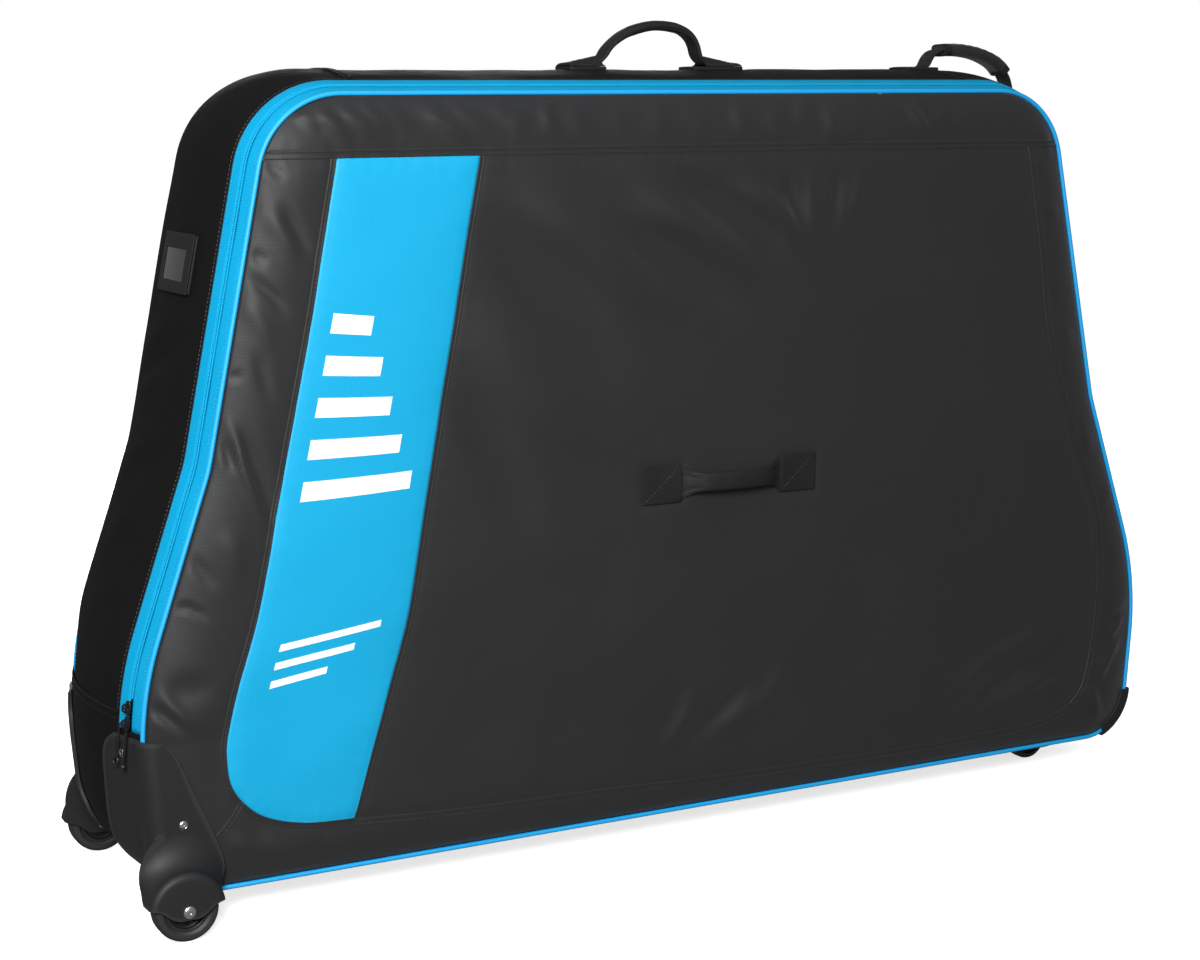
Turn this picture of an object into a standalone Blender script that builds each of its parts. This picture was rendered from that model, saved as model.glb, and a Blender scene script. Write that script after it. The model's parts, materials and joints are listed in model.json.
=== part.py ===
# A soft-sided travel case for a bicycle, on two fixed wheels and two swivel casters.
# Lengths are metres and +Z is up. The zipped front faces -Y and the fixed wheels are at -X.
# The origin is on the floor, at the middle of the length and of the width.

import math

import bmesh
import bpy
from mathutils import Matrix, Vector

# Outline of the case seen from the front, right half, along the piping
bottom_half_width = 0.6205
bottom_height = 0.035
bottom_radius = 0.060
knuckle_half_width = 0.635
knuckle_height = 0.230
knuckle_radius = 0.350
waist_half_width = 0.554
waist_height = 0.4635
waist_radius = 0.150
top_half_width = 0.479
top_height = 0.828
top_radius = 0.090

# Depth of the case and how far its faces swell
case_depth = 0.250
end_crown = 0.025
base_crown = 0.003
crown_rise = 0.085
panel_crown = 0.012
panel_border = 0.060

# Walls and clearances
gusset_wall = 0.003
panel_wall = 0.004
foam_wall = 0.008
foam_margin = 0.006
foam_hem = 0.018
gap = 0.0003
seam_gap = 0.0008
lap_gap = 0.0008
fold_gap = 0.001
fold_axis_lead = 0.002

# Piping and zip
piping_radius = 0.0025
tape_width = 0.0147
tape_wall = 0.0015
coil_radius = 0.0013
coil_gap = 0.0006
left_zip_end = 0.205
right_zip_end = 0.095

# Zip sliders and their pull tabs
slider_length = 0.0145
slider_width = 0.008
slider_plate = 0.0024
slider_lift = 0.0016
slider_edge = 0.0007
bridge_height = 0.0058
bridge_sink = 0.0004
bridge_width = 0.0030
bridge_length = 0.0095
bridge_window = 0.0054
bridge_roof = 0.0012
slider_pitch = 0.0155
pull_wire = 0.0008
pull_wall = 0.0020
pull_stub = 0.0022
pull_side = 0.0065
wide_pull_length = 0.036
wide_pull_width = 0.009
slim_pull_length = 0.056
slim_pull_width = 0.0035
pull_ring_radius = 0.0055
pull_ball_radius = 0.0032
pull_arm_share = 0.45
pull_tab_share = 0.42
pull_bite = 0.0013
pull_tip_sink = 0.6

# Gusset seams
kick_top = 0.217
kick_bottom = 0.056
base_top = 0.092
shoulder_seam = 0.380
corner_guard_top = 0.091

# Coloured band on the front: the seam down its left and the edge down its right, top to bottom
band_left = ((0.766, -0.417), (0.591, -0.451), (0.443, -0.484), (0.319, -0.511), (0.245, -0.535),
             (0.195, -0.549), (0.160, -0.548), (0.125, -0.534), (0.106, -0.511), (0.094, -0.475),
             (0.091, -0.440))
band_right = ((0.766, -0.260), (0.584, -0.295), (0.430, -0.324), (0.301, -0.348), (0.224, -0.371),
              (0.091, -0.413))
band_wall = 0.0010

# Fixed wheels
wheel_radius = 0.033
tyre_width = 0.024
tyre_depth = 0.0105
wheel_inset = 0.032
wheel_x = -(knuckle_half_width - wheel_inset)
wheel_y = 0.154
hub_bore = 0.0045
hub_boss_radius = 0.009
hub_web = 0.006
hub_hole_radius = 0.0035
hub_hole_circle = 0.0150
hub_holes = 6
axle_radius = 0.0042
axle_head_radius = 0.0065
axle_head_height = 0.0024
axle_end_gap = 0.0007
wheel_side_play = 0.001
tyre_shoulder = 0.004
tyre_tread_round = 0.0012
hub_rim_wall = 0.0025

# Wheel guards
guard_wall = 0.003
guard_corner_radius = 0.0150
guard_corner_steps = 5
guard_top = 0.200
guard_front_widths = ((0.000, 0.012), (0.009, 0.024), (0.021, 0.031), (0.048, 0.040), (0.070, 0.047),
                      (0.091, 0.055), (0.113, 0.057), (0.140, 0.053), (0.170, 0.044), (0.205, 0.027))
guard_end_edges = ((0.000, 0.083), (0.010, 0.068), (0.024, 0.061), (0.090, 0.055), (0.125, 0.045),
                   (0.165, 0.060), (0.205, 0.095))
boot_wall = 0.0032
boot_radius = 0.0395
boot_nose_radius = 0.033
boot_nose_depth = 0.007
boot_root = (0.006, 0.030, 0.044, 0.048)
well_clearance = 0.0034
boot_cheek_low = 0.008
boot_lip_low = 0.005
boot_cheek_half = 0.017
boot_lip_half = 0.032
rivet_radius = 0.0042
rivet_head = 0.0016
rivet_shank = 0.0020
rivet_seat = 0.004
face_rivet_inset = 0.038
face_rivet = (-(knuckle_half_width - face_rivet_inset), 0.113)
end_rivet = (0.183, 0.098)

# Corner guards
corner_guard_wall = 0.0025
corner_guard_inset = 0.0325
corner_guard_end = bottom_half_width - corner_guard_inset
corner_guard_lap = 0.012
corner_guard_wrap = 0.022
corner_guard_proud = 0.0056
corner_guard_round = 0.0014
corner_guard_nose = 0.0026

# Swivel casters
caster_inset = 0.1185
caster_x = bottom_half_width - caster_inset
caster_y = 0.062
caster_trail = 0.018
caster_wheel_radius = 0.025
caster_wheel_width = 0.019
caster_bore = 0.0034
caster_axle_radius = 0.0031
caster_head_radius = 0.0055
caster_head_height = 0.0018
housing_bore = 0.0465
housing_wall = 0.0030
housing_top = 0.078
housing_flange = 0.0560
housing_boss_radius = 0.0120
housing_boss_drop = 0.009
fork_crown = 0.0540
fork_crown_wall = 0.0040
fork_crown_radius = 0.0190
fork_leg_wall = 0.0025
fork_leg_half = 0.0085
fork_side_play = 0.0010
fork_leg_front = 0.014
fork_leg_back = 0.012
fork_joint = 0.0010
fork_leg_bite = 0.0020
caster_tread_round = 0.003
stem_radius = 0.0060
stem_play = 0.0004

# Handles
anchor_wall = 0.003
anchor_half_width = 0.020
top_handle_start = -0.067
top_anchor_spans = ((-0.097, -0.052), (0.060, 0.123))
top_handle_rise = ((-0.013, 0.0000), (-0.004, 0.0009), (0.004, 0.0065), (0.010, 0.0160), (0.026, 0.0305),
                   (0.052, 0.0375), (0.082, 0.0400), (0.112, 0.0355), (0.130, 0.0215), (0.137, 0.0065),
                   (0.145, 0.0009), (0.154, 0.0000))
foot_radius = 0.0040
strap_half_width = 0.0110
strap_half_thickness = 0.0026
top_grip_half_thickness = 0.0052
tow_left_span = (0.350, 0.398)
tow_right_span = (0.135, 0.070)
tow_foot_x = 0.3880
tow_route = ((0.3975, 0.8740), (0.4150, 0.8775), (0.4400, 0.8785), (0.4700, 0.8740), (0.4960, 0.8630),
             (0.5110, 0.8440), (0.5160, 0.8200))
tow_grip_from = 0.22
tow_grip_to = 0.74
tow_strap_half = 0.0085
tow_strap_half_thickness = 0.0015
tow_grip_half_width = 0.0130
tow_grip_half_thickness = 0.0062
tow_grip_wall = 0.0032

# Grab handle on the front panel
patch_width = 0.048
patch_height = 0.043
patch_wall = 0.0020
patch_left_x = -0.050
patch_right_x = 0.124
patch_z = 0.409
grab_half_width = 0.0110
grab_half_thickness = 0.0040
grab_end_thickness = 0.0020
grab_stand = 0.0130
grab_inset = 0.018

# Label pocket on the left end
pocket_top = 0.688
pocket_bottom = 0.625
pocket_width = 0.120
pocket_wall = 0.0015
window_top = 0.676
window_bottom = 0.637
window_width = 0.094
window_wall = 0.0008

# Floor board, frame block and hold-down straps
board_wall = 0.006
board_inset = 0.0655
board_half_length = bottom_half_width - board_inset
board_half_width = 0.100
board_lift = 0.0033
block_length = 0.180
block_width = 0.120
block_height = 0.034
block_x = 0.030
strap_width = 0.038
strap_wall = 0.002
strap_reach = 0.090
hold_down_x = -0.140

half_depth = case_depth / 2
zip_line = -(half_depth - piping_radius - gap - tape_width - gap - 2 * coil_radius - coil_gap / 2)
coil_offset = coil_radius + coil_gap / 2
tape_offset = 2 * coil_radius + coil_gap / 2 + gap
sewn_edge = half_depth - piping_radius - gap
gusset_front = zip_line + tape_offset + tape_width + gap
face_level = half_depth + panel_crown


def clear_scene():
    for item in list(bpy.data.objects):
        bpy.data.objects.remove(item, do_unlink=True)


def new_collection(name):
    collection = bpy.data.collections.new(name)
    bpy.context.scene.collection.children.link(collection)
    return collection


def material(name, colour, roughness, metallic=0.0):
    found = bpy.data.materials.get(name)
    if found:
        return found
    made = bpy.data.materials.new(name)
    made.use_nodes = True
    shader = made.node_tree.nodes["Principled BSDF"]
    shader.inputs["Base Color"].default_value = (*colour, 1.0)
    shader.inputs["Roughness"].default_value = roughness
    shader.inputs["Metallic"].default_value = metallic
    made.diffuse_color = (*colour, 1.0)
    return made


def coated_fabric():
    return material("coated_fabric", (0.026, 0.027, 0.029), 0.42)


def matte_nylon():
    return material("matte_nylon", (0.008, 0.008, 0.009), 0.85)


def blue_fabric():
    return material("blue_fabric", (0.0, 0.38, 0.80), 0.45)


def blue_trim():
    return material("blue_trim", (0.01, 0.42, 0.85), 0.5)


def webbing():
    return material("webbing", (0.012, 0.012, 0.013), 0.8)


def moulded_plastic():
    return material("moulded_plastic", (0.024, 0.025, 0.026), 0.48)


def soft_foam():
    return material("soft_foam", (0.03, 0.03, 0.032), 0.95)


def tyre_rubber():
    return material("tyre_rubber", (0.012, 0.012, 0.012), 0.7)


def bright_steel():
    return material("bright_steel", (0.62, 0.62, 0.63), 0.28, 1.0)


def clear_film():
    return material("clear_film", (0.12, 0.12, 0.13), 0.15)


def show(item, finish, angle=35):
    # Puts a finished piece among the parts with its material and shading.
    parts.objects.link(item)
    if item.type == "MESH":
        item.data.materials.clear()
        item.data.materials.append(finish)
        item.data.shade_smooth()
        item.data.set_sharp_from_angle(angle=math.radians(angle))
    else:
        item.data.materials.append(finish)
    return item


def hide(item):
    cutters.objects.link(item)
    item.hide_render = True
    item.display_type = "WIRE"
    return item


def mesh_object(name, shape):
    mesh = bpy.data.meshes.new(name)
    shape.to_mesh(mesh)
    shape.free()
    return bpy.data.objects.new(name, mesh)


def thicken(item, wall, outward=False):
    solid = item.modifiers.new("Wall", "SOLIDIFY")
    solid.thickness = wall
    solid.offset = 1.0 if outward else -1.0
    solid.use_even_offset = True
    return item


def boolean(item, other, operation="DIFFERENCE"):
    step = item.modifiers.new(operation.title(), "BOOLEAN")
    step.operation = operation
    step.object = other
    return item


def fillet_path(corners):
    # Straight runs and corner arcs round a closed outline, counter-clockwise seen from the front.
    arcs = []
    for index, (x, z, radius) in enumerate(corners):
        here = Vector((x, z))
        before = Vector(corners[index - 1][:2])
        after = Vector(corners[(index + 1) % len(corners)][:2])
        inward = (here - before).normalized()
        outward = (after - here).normalized()
        turn = math.atan2(inward.x * outward.y - inward.y * outward.x, inward.dot(outward))
        reach = radius * math.tan(abs(turn) / 2)
        side = 1 if turn > 0 else -1
        start = here - inward * reach
        centre = start + Vector((-inward.y, inward.x)) * radius * side
        arcs.append((start, here + outward * reach, centre, radius, turn, inward))
    runs = []
    walked = 0.0
    for index, (start, end, centre, radius, turn, inward) in enumerate(arcs):
        length = abs(turn) * radius
        runs.append(("arc", walked, length, centre, radius, turn, start))
        walked += length
        ahead = arcs[(index + 1) % len(arcs)][0]
        length = (ahead - end).length
        runs.append(("line", walked, length, end, (ahead - end).normalized()))
        walked += length
    return runs, walked


def case_corners():
    right = [
        (bottom_half_width, bottom_height, bottom_radius),
        (knuckle_half_width, knuckle_height, knuckle_radius),
        (waist_half_width, waist_height, waist_radius),
        (top_half_width, top_height, top_radius),
    ]
    return right + [(-x, z, radius) for x, z, radius in reversed(right)]


def outline_at(walk):
    # The outline's point and outward normal, both as (x, z), at a distance along it.
    walk = walk % outline_length
    for run in outline:
        if walk <= run[1] + run[2] or run is outline[-1]:
            break
    along = walk - run[1]
    if run[0] == "line":
        heading = run[4]
        return run[3] + heading * along, Vector((heading.y, -heading.x))
    centre, radius, turn, start = run[3:7]
    swing = math.copysign(along / radius, turn)
    spoke = Matrix.Rotation(swing, 2) @ (start - centre)
    return centre + spoke, spoke.normalized() * math.copysign(1, turn)


def breaks(start, end):
    # Distances from start to end, with a point at each place where the outline bends.
    marks = set()
    for lap in (-outline_length, 0.0, outline_length):
        for run in outline:
            pieces = 1
            if run[0] == "arc":
                pieces = max(math.ceil(abs(run[5]) / math.radians(15)), math.ceil(run[2] / 0.036))
            for piece in range(pieces + 1):
                marks.add(round(lap + run[1] + run[2] * piece / pieces, 7))
    between = [mark for mark in sorted(marks) if start + 0.0015 < mark < end - 0.0015]
    return [start] + between + [end]


def walk_at_height(height, side):
    # The distance along the outline where the right side (1) or the left side (-1) has this height.
    low = 0.0
    high = middle_walk
    for _ in range(50):
        guess = (low + high) / 2
        if outline_at(guess)[0].y < height:
            low = guess
        else:
            high = guess
    return low if side > 0 else 2 * middle_walk - low


def walk_on_top(x):
    return middle_walk - x


def walk_on_bottom(x):
    return x - outline[0][6].x


def crown_at(walk):
    # How far the gusset swells past the outline at mid depth.
    height = outline_at(walk)[0].y - bottom_height
    share = min(max(height / crown_rise, 0.0), 1.0)
    return base_crown + (end_crown - base_crown) * share * share * (3 - 2 * share)


def swell(walk, y):
    return crown_at(walk) * (1 - (y / half_depth) ** 2)


def skin_point(walk, y, lift=0.0):
    point, normal = outline_at(walk)
    out = swell(walk, y) + lift
    return Vector((point.x + normal.x * out, y, point.y + normal.y * out))


def spot(walk, out, y):
    point, normal = outline_at(walk)
    return Vector((point.x + normal.x * out, y, point.y + normal.y * out))


def surface(columns, rows, place, closed=False, flip=False):
    # A grid whose corners are moved to place(column, row); closed joins its first and last columns.
    shape = bmesh.new()
    bmesh.ops.create_grid(shape, x_segments=len(columns) - 1, y_segments=len(rows) - 1, size=1)
    for corner in shape.verts:
        column = round((corner.co.x + 1) / 2 * (len(columns) - 1))
        row = round((corner.co.y + 1) / 2 * (len(rows) - 1))
        corner.co = place(columns[column], rows[row])
    if closed:
        bmesh.ops.remove_doubles(shape, verts=shape.verts[:], dist=0.00001)
    if flip:
        bmesh.ops.reverse_faces(shape, faces=shape.faces[:])
    return shape


def strip(name, columns, ys, wall, finish, lift=0.0, outward=False):
    # A wall that follows the gusset's skin between two places on the outline.
    shape = surface(columns, sorted(ys, reverse=True), lambda walk, y: skin_point(walk, y, lift))
    return show(thicken(mesh_object(name, shape), wall, outward), finish)


def depth_rows(start, end, count):
    return [start + (end - start) * step / count for step in range(count + 1)]


def round_curve(name, points, radius, closed=False, resolution=2):
    curve = bpy.data.curves.new(name, "CURVE")
    curve.dimensions = "3D"
    curve.bevel_depth = radius
    curve.bevel_resolution = resolution
    curve.use_fill_caps = not closed
    spline = curve.splines.new("POLY")
    spline.points.add(len(points) - 1)
    spline.use_cyclic_u = closed
    for knot, point in zip(spline.points, points):
        knot.co = (*point, 1.0)
    return bpy.data.objects.new(name, curve)


def tube(name, points, radius, finish, closed=False, resolution=2):
    return show(round_curve(name, points, radius, closed, resolution), finish)


def flat_plate(name, points, wall, level):
    # A flat outline in X and Z, standing across Y with its middle at level.
    curve = bpy.data.curves.new(name + "_outline", "CURVE")
    curve.dimensions = "2D"
    curve.fill_mode = "BOTH"
    curve.extrude = wall / 2
    spline = curve.splines.new("POLY")
    spline.points.add(len(points) - 1)
    spline.use_cyclic_u = True
    for knot, (x, z) in zip(spline.points, points):
        knot.co = (x, z, 0.0, 1.0)
    item = bpy.data.objects.new(name + "_outline", curve)
    item.rotation_euler = (math.radians(90), 0, 0)
    item.location = (0, level, 0)
    return welded_mesh(name, item)


def welded_mesh(name, item):
    # The mesh of a curve object, with its caps joined to its sides, in place of the curve.
    bpy.context.scene.collection.objects.link(item)
    bpy.context.view_layer.update()
    mesh = bpy.data.meshes.new_from_object(item.evaluated_get(bpy.context.evaluated_depsgraph_get()))
    shape = bmesh.new()
    shape.from_mesh(mesh)
    bmesh.ops.remove_doubles(shape, verts=shape.verts[:], dist=0.000001)
    bmesh.ops.recalc_face_normals(shape, faces=shape.faces[:])
    made = mesh_object(name, shape)
    made.matrix_world = item.matrix_world
    curve = item.data
    bpy.data.objects.remove(item, do_unlink=True)
    bpy.data.curves.remove(curve)
    bpy.data.meshes.remove(mesh)
    return made


def cylinder(name, radius, start, end, sides=24):
    along = end - start
    shape = bmesh.new()
    turn = along.to_track_quat("Z", "Y").to_matrix().to_4x4()
    place = Matrix.Translation((start + end) / 2) @ turn
    bmesh.ops.create_cone(shape, cap_ends=True, segments=sides, radius1=radius, radius2=radius,
                          depth=along.length, matrix=place)
    return mesh_object(name, shape)


def block(name, low, high, bevel=0.0):
    shape = bmesh.new()
    size = Vector(high) - Vector(low)
    place = Matrix.Translation((Vector(high) + Vector(low)) / 2) @ Matrix.Diagonal((*size, 1.0))
    bmesh.ops.create_cube(shape, size=1, matrix=place)
    item = mesh_object(name, shape)
    if bevel:
        edge = item.modifiers.new("Edge", "BEVEL")
        edge.width = bevel
        edge.segments = 2
        edge.limit_method = "ANGLE"
    return item


def turned(name, profile, place, steps=28):
    # A profile of (radius, height) down its outer side, turned about the local Z axis.
    shape = bmesh.new()
    corners = [shape.verts.new((radius, 0, height)) for radius, height in profile]
    for first, second in zip(corners, corners[1:] + corners[:1]):
        if first.co.x > 0 or second.co.x > 0:
            shape.edges.new((first, second))
    item = mesh_object(name, shape)
    screw = item.modifiers.new("Turn", "SCREW")
    screw.steps = steps
    screw.render_steps = steps
    screw.use_merge_vertices = True
    screw.merge_threshold = 0.00001
    item.matrix_world = place
    return item


def along_y(x, z, y=0.0, side=-1):
    # A frame whose Z axis points along -Y (side -1) or +Y (side 1).
    return Matrix.Translation((x, y, z)) @ Matrix.Rotation(math.radians(-90 * side), 4, "X")


def smooth_route(points, pieces):
    # A smooth curve through the points, with some pieces between each two.
    route = []
    for index in range(len(points) - 1):
        before = points[max(index - 1, 0)]
        here = points[index]
        after = points[index + 1]
        beyond = points[min(index + 2, len(points) - 1)]
        for piece in range(pieces):
            share = piece / pieces
            route.append(0.5 * (2 * here + (after - before) * share
                                + (2 * before - 5 * here + 4 * after - beyond) * share ** 2
                                + (3 * here - before - 3 * after + beyond) * share ** 3))
    return route + [points[-1]]


def blend_value(share, pairs):
    # Reads a value off a list of (place, value) by straight interpolation.
    for (low, first), (high, second) in zip(pairs, pairs[1:]):
        if share <= high:
            return first + (second - first) * (share - low) / (high - low)
    return pairs[-1][1]


def strap_shape(route, half_sizes, across, sides=10, open_ends=False):
    # A strap along a flat route. Each section is an oval: half_sizes(share) gives (thickness, width).
    count = len(route) - 1

    def place(step, side):
        here = route[step]
        heading = (route[min(step + 1, count)] - route[max(step - 1, 0)]).normalized()
        up = across.cross(heading).normalized()
        thick, wide = half_sizes(step / count)
        angle = 2 * math.pi * side / sides
        return here + up * thick * math.cos(angle) + across * wide * math.sin(angle)

    shape = surface(list(range(count + 1)), list(range(sides + 1)), place, closed=True)
    if not open_ends:
        bmesh.ops.holes_fill(shape, edges=[edge for edge in shape.edges if edge.is_boundary])
        bmesh.ops.recalc_face_normals(shape, faces=shape.faces[:])
    return shape


# Front and rear panels

def ring_levels():
    return ((0.0, 0.0), (0.16, 0.34), (0.45, 0.78), (1.0, 1.0))


def panel_shape(start, end, closed):
    # The swelled face between two places on the outline, as rings from the edge inwards.
    edge_inset = piping_radius + gap
    rows = [(edge_inset + (panel_border - edge_inset) * share, panel_crown * level)
            for share, level in ring_levels()]

    def place(walk, row):
        inset, rise = row
        return spot(walk, -inset, -half_depth - rise)

    columns = breaks(start, end)
    shape = surface(columns, rows, place, closed=closed)
    inner = [edge for edge in shape.edges if edge.is_boundary
             and all(corner.co.y < -face_level + 0.00001 for corner in edge.verts)]
    bmesh.ops.holes_fill(shape, edges=inner)
    return shape


def fold_ends():
    left = outline_at(left_fold)[0]
    right = outline_at(right_fold)[0]
    return Vector((left.x, 0, left.y)), Vector((right.x, 0, right.y))


def fold_direction():
    left, right = fold_ends()
    return (right - left).normalized()


def fold_point():
    left, right = fold_ends()
    share = left.x / (left.x - right.x)
    middle = left + (right - left) * share
    return Vector((0, -face_level - fold_axis_lead, middle.z))


def fold_height(x):
    left, right = fold_ends()
    return left.z + (right.z - left.z) * (x - left.x) / (right.x - left.x)


def cut_at_fold(shape, keep_upper):
    normal = fold_direction().cross(Vector((0, 1, 0))).normalized()
    if normal.z < 0:
        normal = -normal
    away = normal if keep_upper else -normal
    bmesh.ops.bisect_plane(shape, geom=shape.verts[:] + shape.edges[:] + shape.faces[:], dist=0.000001,
                           plane_co=fold_point() + away * fold_gap / 2, plane_no=away, clear_inner=True)
    return shape


def whole_face():
    return panel_shape(0.0, outline_length, closed=True)


def front_panels():
    for name, keep_upper in (("lid_panel", True), ("front_lower_panel", False)):
        shape = cut_at_fold(whole_face(), keep_upper)
        show(thicken(mesh_object(name, shape), panel_wall), coated_fabric())


def rear_panel():
    shape = whole_face()
    for corner in shape.verts:
        corner.co.y = -corner.co.y
    bmesh.ops.reverse_faces(shape, faces=shape.faces[:])
    return show(thicken(mesh_object("rear_panel", shape), panel_wall), matte_nylon())


def foam_outline(start, end, margin):
    inset = panel_border + margin
    return [tuple(outline_at(walk)[0] - outline_at(walk)[1] * inset) for walk in breaks(start, end)]


def lid_foam():
    # A flat sheet behind the lid's face, cut to a straight lower edge above the fold.
    points = foam_outline(walk_at_height(left_zip_end, 1), walk_at_height(left_zip_end, -1), foam_margin)
    lower_right = (points[0][0], fold_height(points[0][0]) + foam_hem)
    lower_left = (points[-1][0], fold_height(points[-1][0]) + foam_hem)
    level = -(face_level - panel_wall - gap - foam_wall / 2)
    return show(flat_plate("lid_foam", points + [lower_left, lower_right], foam_wall, level), soft_foam())


def rear_foam():
    inset = panel_border - foam_margin
    lowest = bottom_height + bottom_radius + foam_margin
    points = foam_outline(walk_at_height(lowest, 1), walk_at_height(lowest, -1), foam_margin)
    level = face_level - panel_wall - gap - foam_wall / 2
    low_z = bottom_height + inset + 2 * foam_margin
    points = points + [(points[-1][0], low_z), (points[0][0], low_z)]
    return show(flat_plate("rear_foam", points, foam_wall, level), soft_foam())


def band_outline(keep_upper):
    # The band's outline on one side of the fold, with a straight end along the fold.
    def split(edge):
        kept = []
        shift = fold_gap / 2 if keep_upper else -fold_gap / 2
        for (z1, x1), (z2, x2) in zip(edge, edge[1:]):
            d1 = z1 - fold_height(x1) - shift
            d2 = z2 - fold_height(x2) - shift
            if (d1 > 0) == keep_upper:
                kept.append((x1, z1))
            if (d1 > 0) != (d2 > 0):
                share = d1 / (d1 - d2)
                kept.append((x1 + (x2 - x1) * share, z1 + (z2 - z1) * share))
        z2, x2 = edge[-1]
        if (z2 - fold_height(x2) - shift > 0) == keep_upper:
            kept.append((x2, z2))
        return kept

    return split(band_left) + list(reversed(split(band_right)))


def bands():
    level = -(face_level + gap + band_wall / 2)
    show(flat_plate("lid_band", band_outline(True), band_wall, level), blue_fabric())
    show(flat_plate("front_lower_band", band_outline(False), band_wall, level), blue_fabric())


# Gusset, base and trims

def gussets():
    rear = sewn_edge
    front = gusset_front
    left_start = walk_on_top(-shoulder_seam) + gap
    left_end = walk_at_height(kick_top, -1) - gap
    right_start = walk_at_height(base_top, 1) + seam_gap
    right_end = walk_on_top(shoulder_seam) - gap
    ys = depth_rows(front, rear, 6)
    strip("gusset_left", breaks(left_start, left_end), ys, gusset_wall, matte_nylon())
    strip("gusset_top", breaks(right_end + 2 * gap, left_start - 2 * gap), ys, gusset_wall, matte_nylon())
    strip("gusset_right", breaks(right_start, right_end), ys, gusset_wall, matte_nylon())


def kick_panel():
    # The fold gap keeps the kick panel's front below the zip; above it the panel stops at the gusset's edge.
    start = walk_at_height(kick_top, -1) + gap
    end = walk_at_height(kick_bottom, -1) - seam_gap
    item = strip("gusset_kick_panel", breaks(start, end), depth_rows(-sewn_edge, sewn_edge, 7), gusset_wall,
                 matte_nylon())
    notch_low = left_zip_end - 2 * seam_gap
    notch = block("kick_notch", (-knuckle_half_width - half_depth, -case_depth, notch_low),
                  (-knuckle_half_width + half_depth, gusset_front + seam_gap, kick_top + kick_bottom))
    return boolean(item, hide(notch))


def caster_cutter(name, side):
    # Clears a caster's housing out of the sheet that it passes through.
    radius = housing_bore + housing_wall + 2 * gap
    foot = Vector((caster_x, side * caster_y, 0.0))
    return cylinder(name, radius, foot, foot + Vector((0, 0, housing_top)), sides=24)


def base_panel():
    start = walk_at_height(kick_bottom, -1) + seam_gap
    end = outline_length + walk_at_height(base_top, 1) - seam_gap
    item = strip("base_fabric", breaks(start, end), depth_rows(-sewn_edge, sewn_edge, 4), gusset_wall,
                 matte_nylon())
    for side in (-1, 1):
        hole = caster_cutter("base_hole", side)
        boolean(item, hide(hole))
    return item


def pipings():
    upper_walks = breaks(right_fold + fold_gap / 2, left_fold - fold_gap / 2)
    upper = [spot(walk, 0.0, -half_depth) for walk in upper_walks]
    lower_start = left_fold + fold_gap / 2 - outline_length
    lower = [spot(walk, 0.0, -half_depth) for walk in breaks(lower_start, right_fold - fold_gap / 2)]
    rear = [spot(walk, 0.0, half_depth) for walk in breaks(0.0, outline_length)[:-1]]
    tube("lid_piping", upper, piping_radius, blue_trim())
    tube("lower_piping", lower, piping_radius, blue_trim())
    tube("rear_piping", rear, piping_radius, blue_trim(), closed=True)


def zips():
    columns = breaks(right_fold + fold_gap / 2, left_fold - fold_gap / 2)
    inner = (-sewn_edge, zip_line - tape_offset)
    outer = (zip_line + tape_offset, gusset_front - gap)
    strip("zip_tape_inner", columns, inner, tape_wall, blue_trim())
    strip("zip_tape_outer", columns, outer, tape_wall, blue_trim())
    outer_coil = [skin_point(walk, zip_line + coil_offset) for walk in columns]
    tube("zip_coil_outer", outer_coil, coil_radius, blue_trim(), resolution=1)
    # The lid's half of the coil ends above the parked sliders.
    columns = breaks(right_fold + fold_gap / 2, slider_walk(1) - slider_length / 2 - seam_gap)
    inner_coil = [skin_point(walk, zip_line - coil_offset) for walk in columns]
    tube("zip_coil_inner", inner_coil, coil_radius, blue_trim(), resolution=1)


# Zip sliders

def knuckle_arc():
    # Centre and radius of the left side's rounded knuckle, which the parked sliders run round.
    arcs = [run for run in outline if run[0] == "arc" and run[4] == knuckle_radius]
    left = max(arcs, key=lambda run: run[1])
    return left[3], left[1]


def slider_walk(order):
    return left_fold - fold_gap - slider_length / 2 - order * slider_pitch


def slider_frame(walk):
    # Local X points out of the tape, local Y runs across it towards the front and local Z runs up the track.
    normal = outline_at(walk)[1]
    out = Vector((normal.x, 0, normal.y))
    slope = 2 * crown_at(walk) * abs(zip_line) / half_depth ** 2
    outward = (out - Vector((0, slope, 0))).normalized()
    across = -(Vector((0, 1, 0)) + slope * out).normalized()
    frame = Matrix.Identity(4)
    frame.col[0] = (*outward, 0)
    frame.col[1] = (*across, 0)
    frame.col[2] = (*outward.cross(across), 0)
    frame.col[3] = (*skin_point(walk, zip_line), 1)
    return frame


def on_axis(item, point):
    # The piece hangs under an empty that marks its joint's axis.
    axis = bpy.data.objects.new(item.name + "_axis", None)
    axis.location = point
    parts.objects.link(axis)
    item.parent = axis
    item.matrix_parent_inverse = Matrix.Translation(-Vector(point))
    return item


def slider(name, order):
    frame = slider_frame(slider_walk(order))
    half = slider_width / 2
    low = slider_lift
    top = low + slider_plate
    body = block(name, (low, -half, -slider_length / 2), (top, half, slider_length / 2), slider_edge)
    bridge = block(name + "_bridge", (top - bridge_sink, -bridge_width / 2, -bridge_length / 2),
                   (top + bridge_height, bridge_width / 2, bridge_length / 2))
    window = block(name + "_window", (top + gap, -half, -bridge_window / 2),
                   (top + bridge_height - bridge_roof, half, bridge_window / 2))
    for item in (body, bridge, window):
        item.data.transform(frame)
    boolean(body, hide(bridge), "UNION")
    boolean(body, hide(window))
    centre = knuckle_arc()[0]
    on_axis(show(body, webbing()), (centre.x, 0, centre.y))
    pivot_out = top + bridge_height - bridge_roof - pull_wire - gap
    return frame @ Matrix.Translation((pivot_out, 0, 0))


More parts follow.
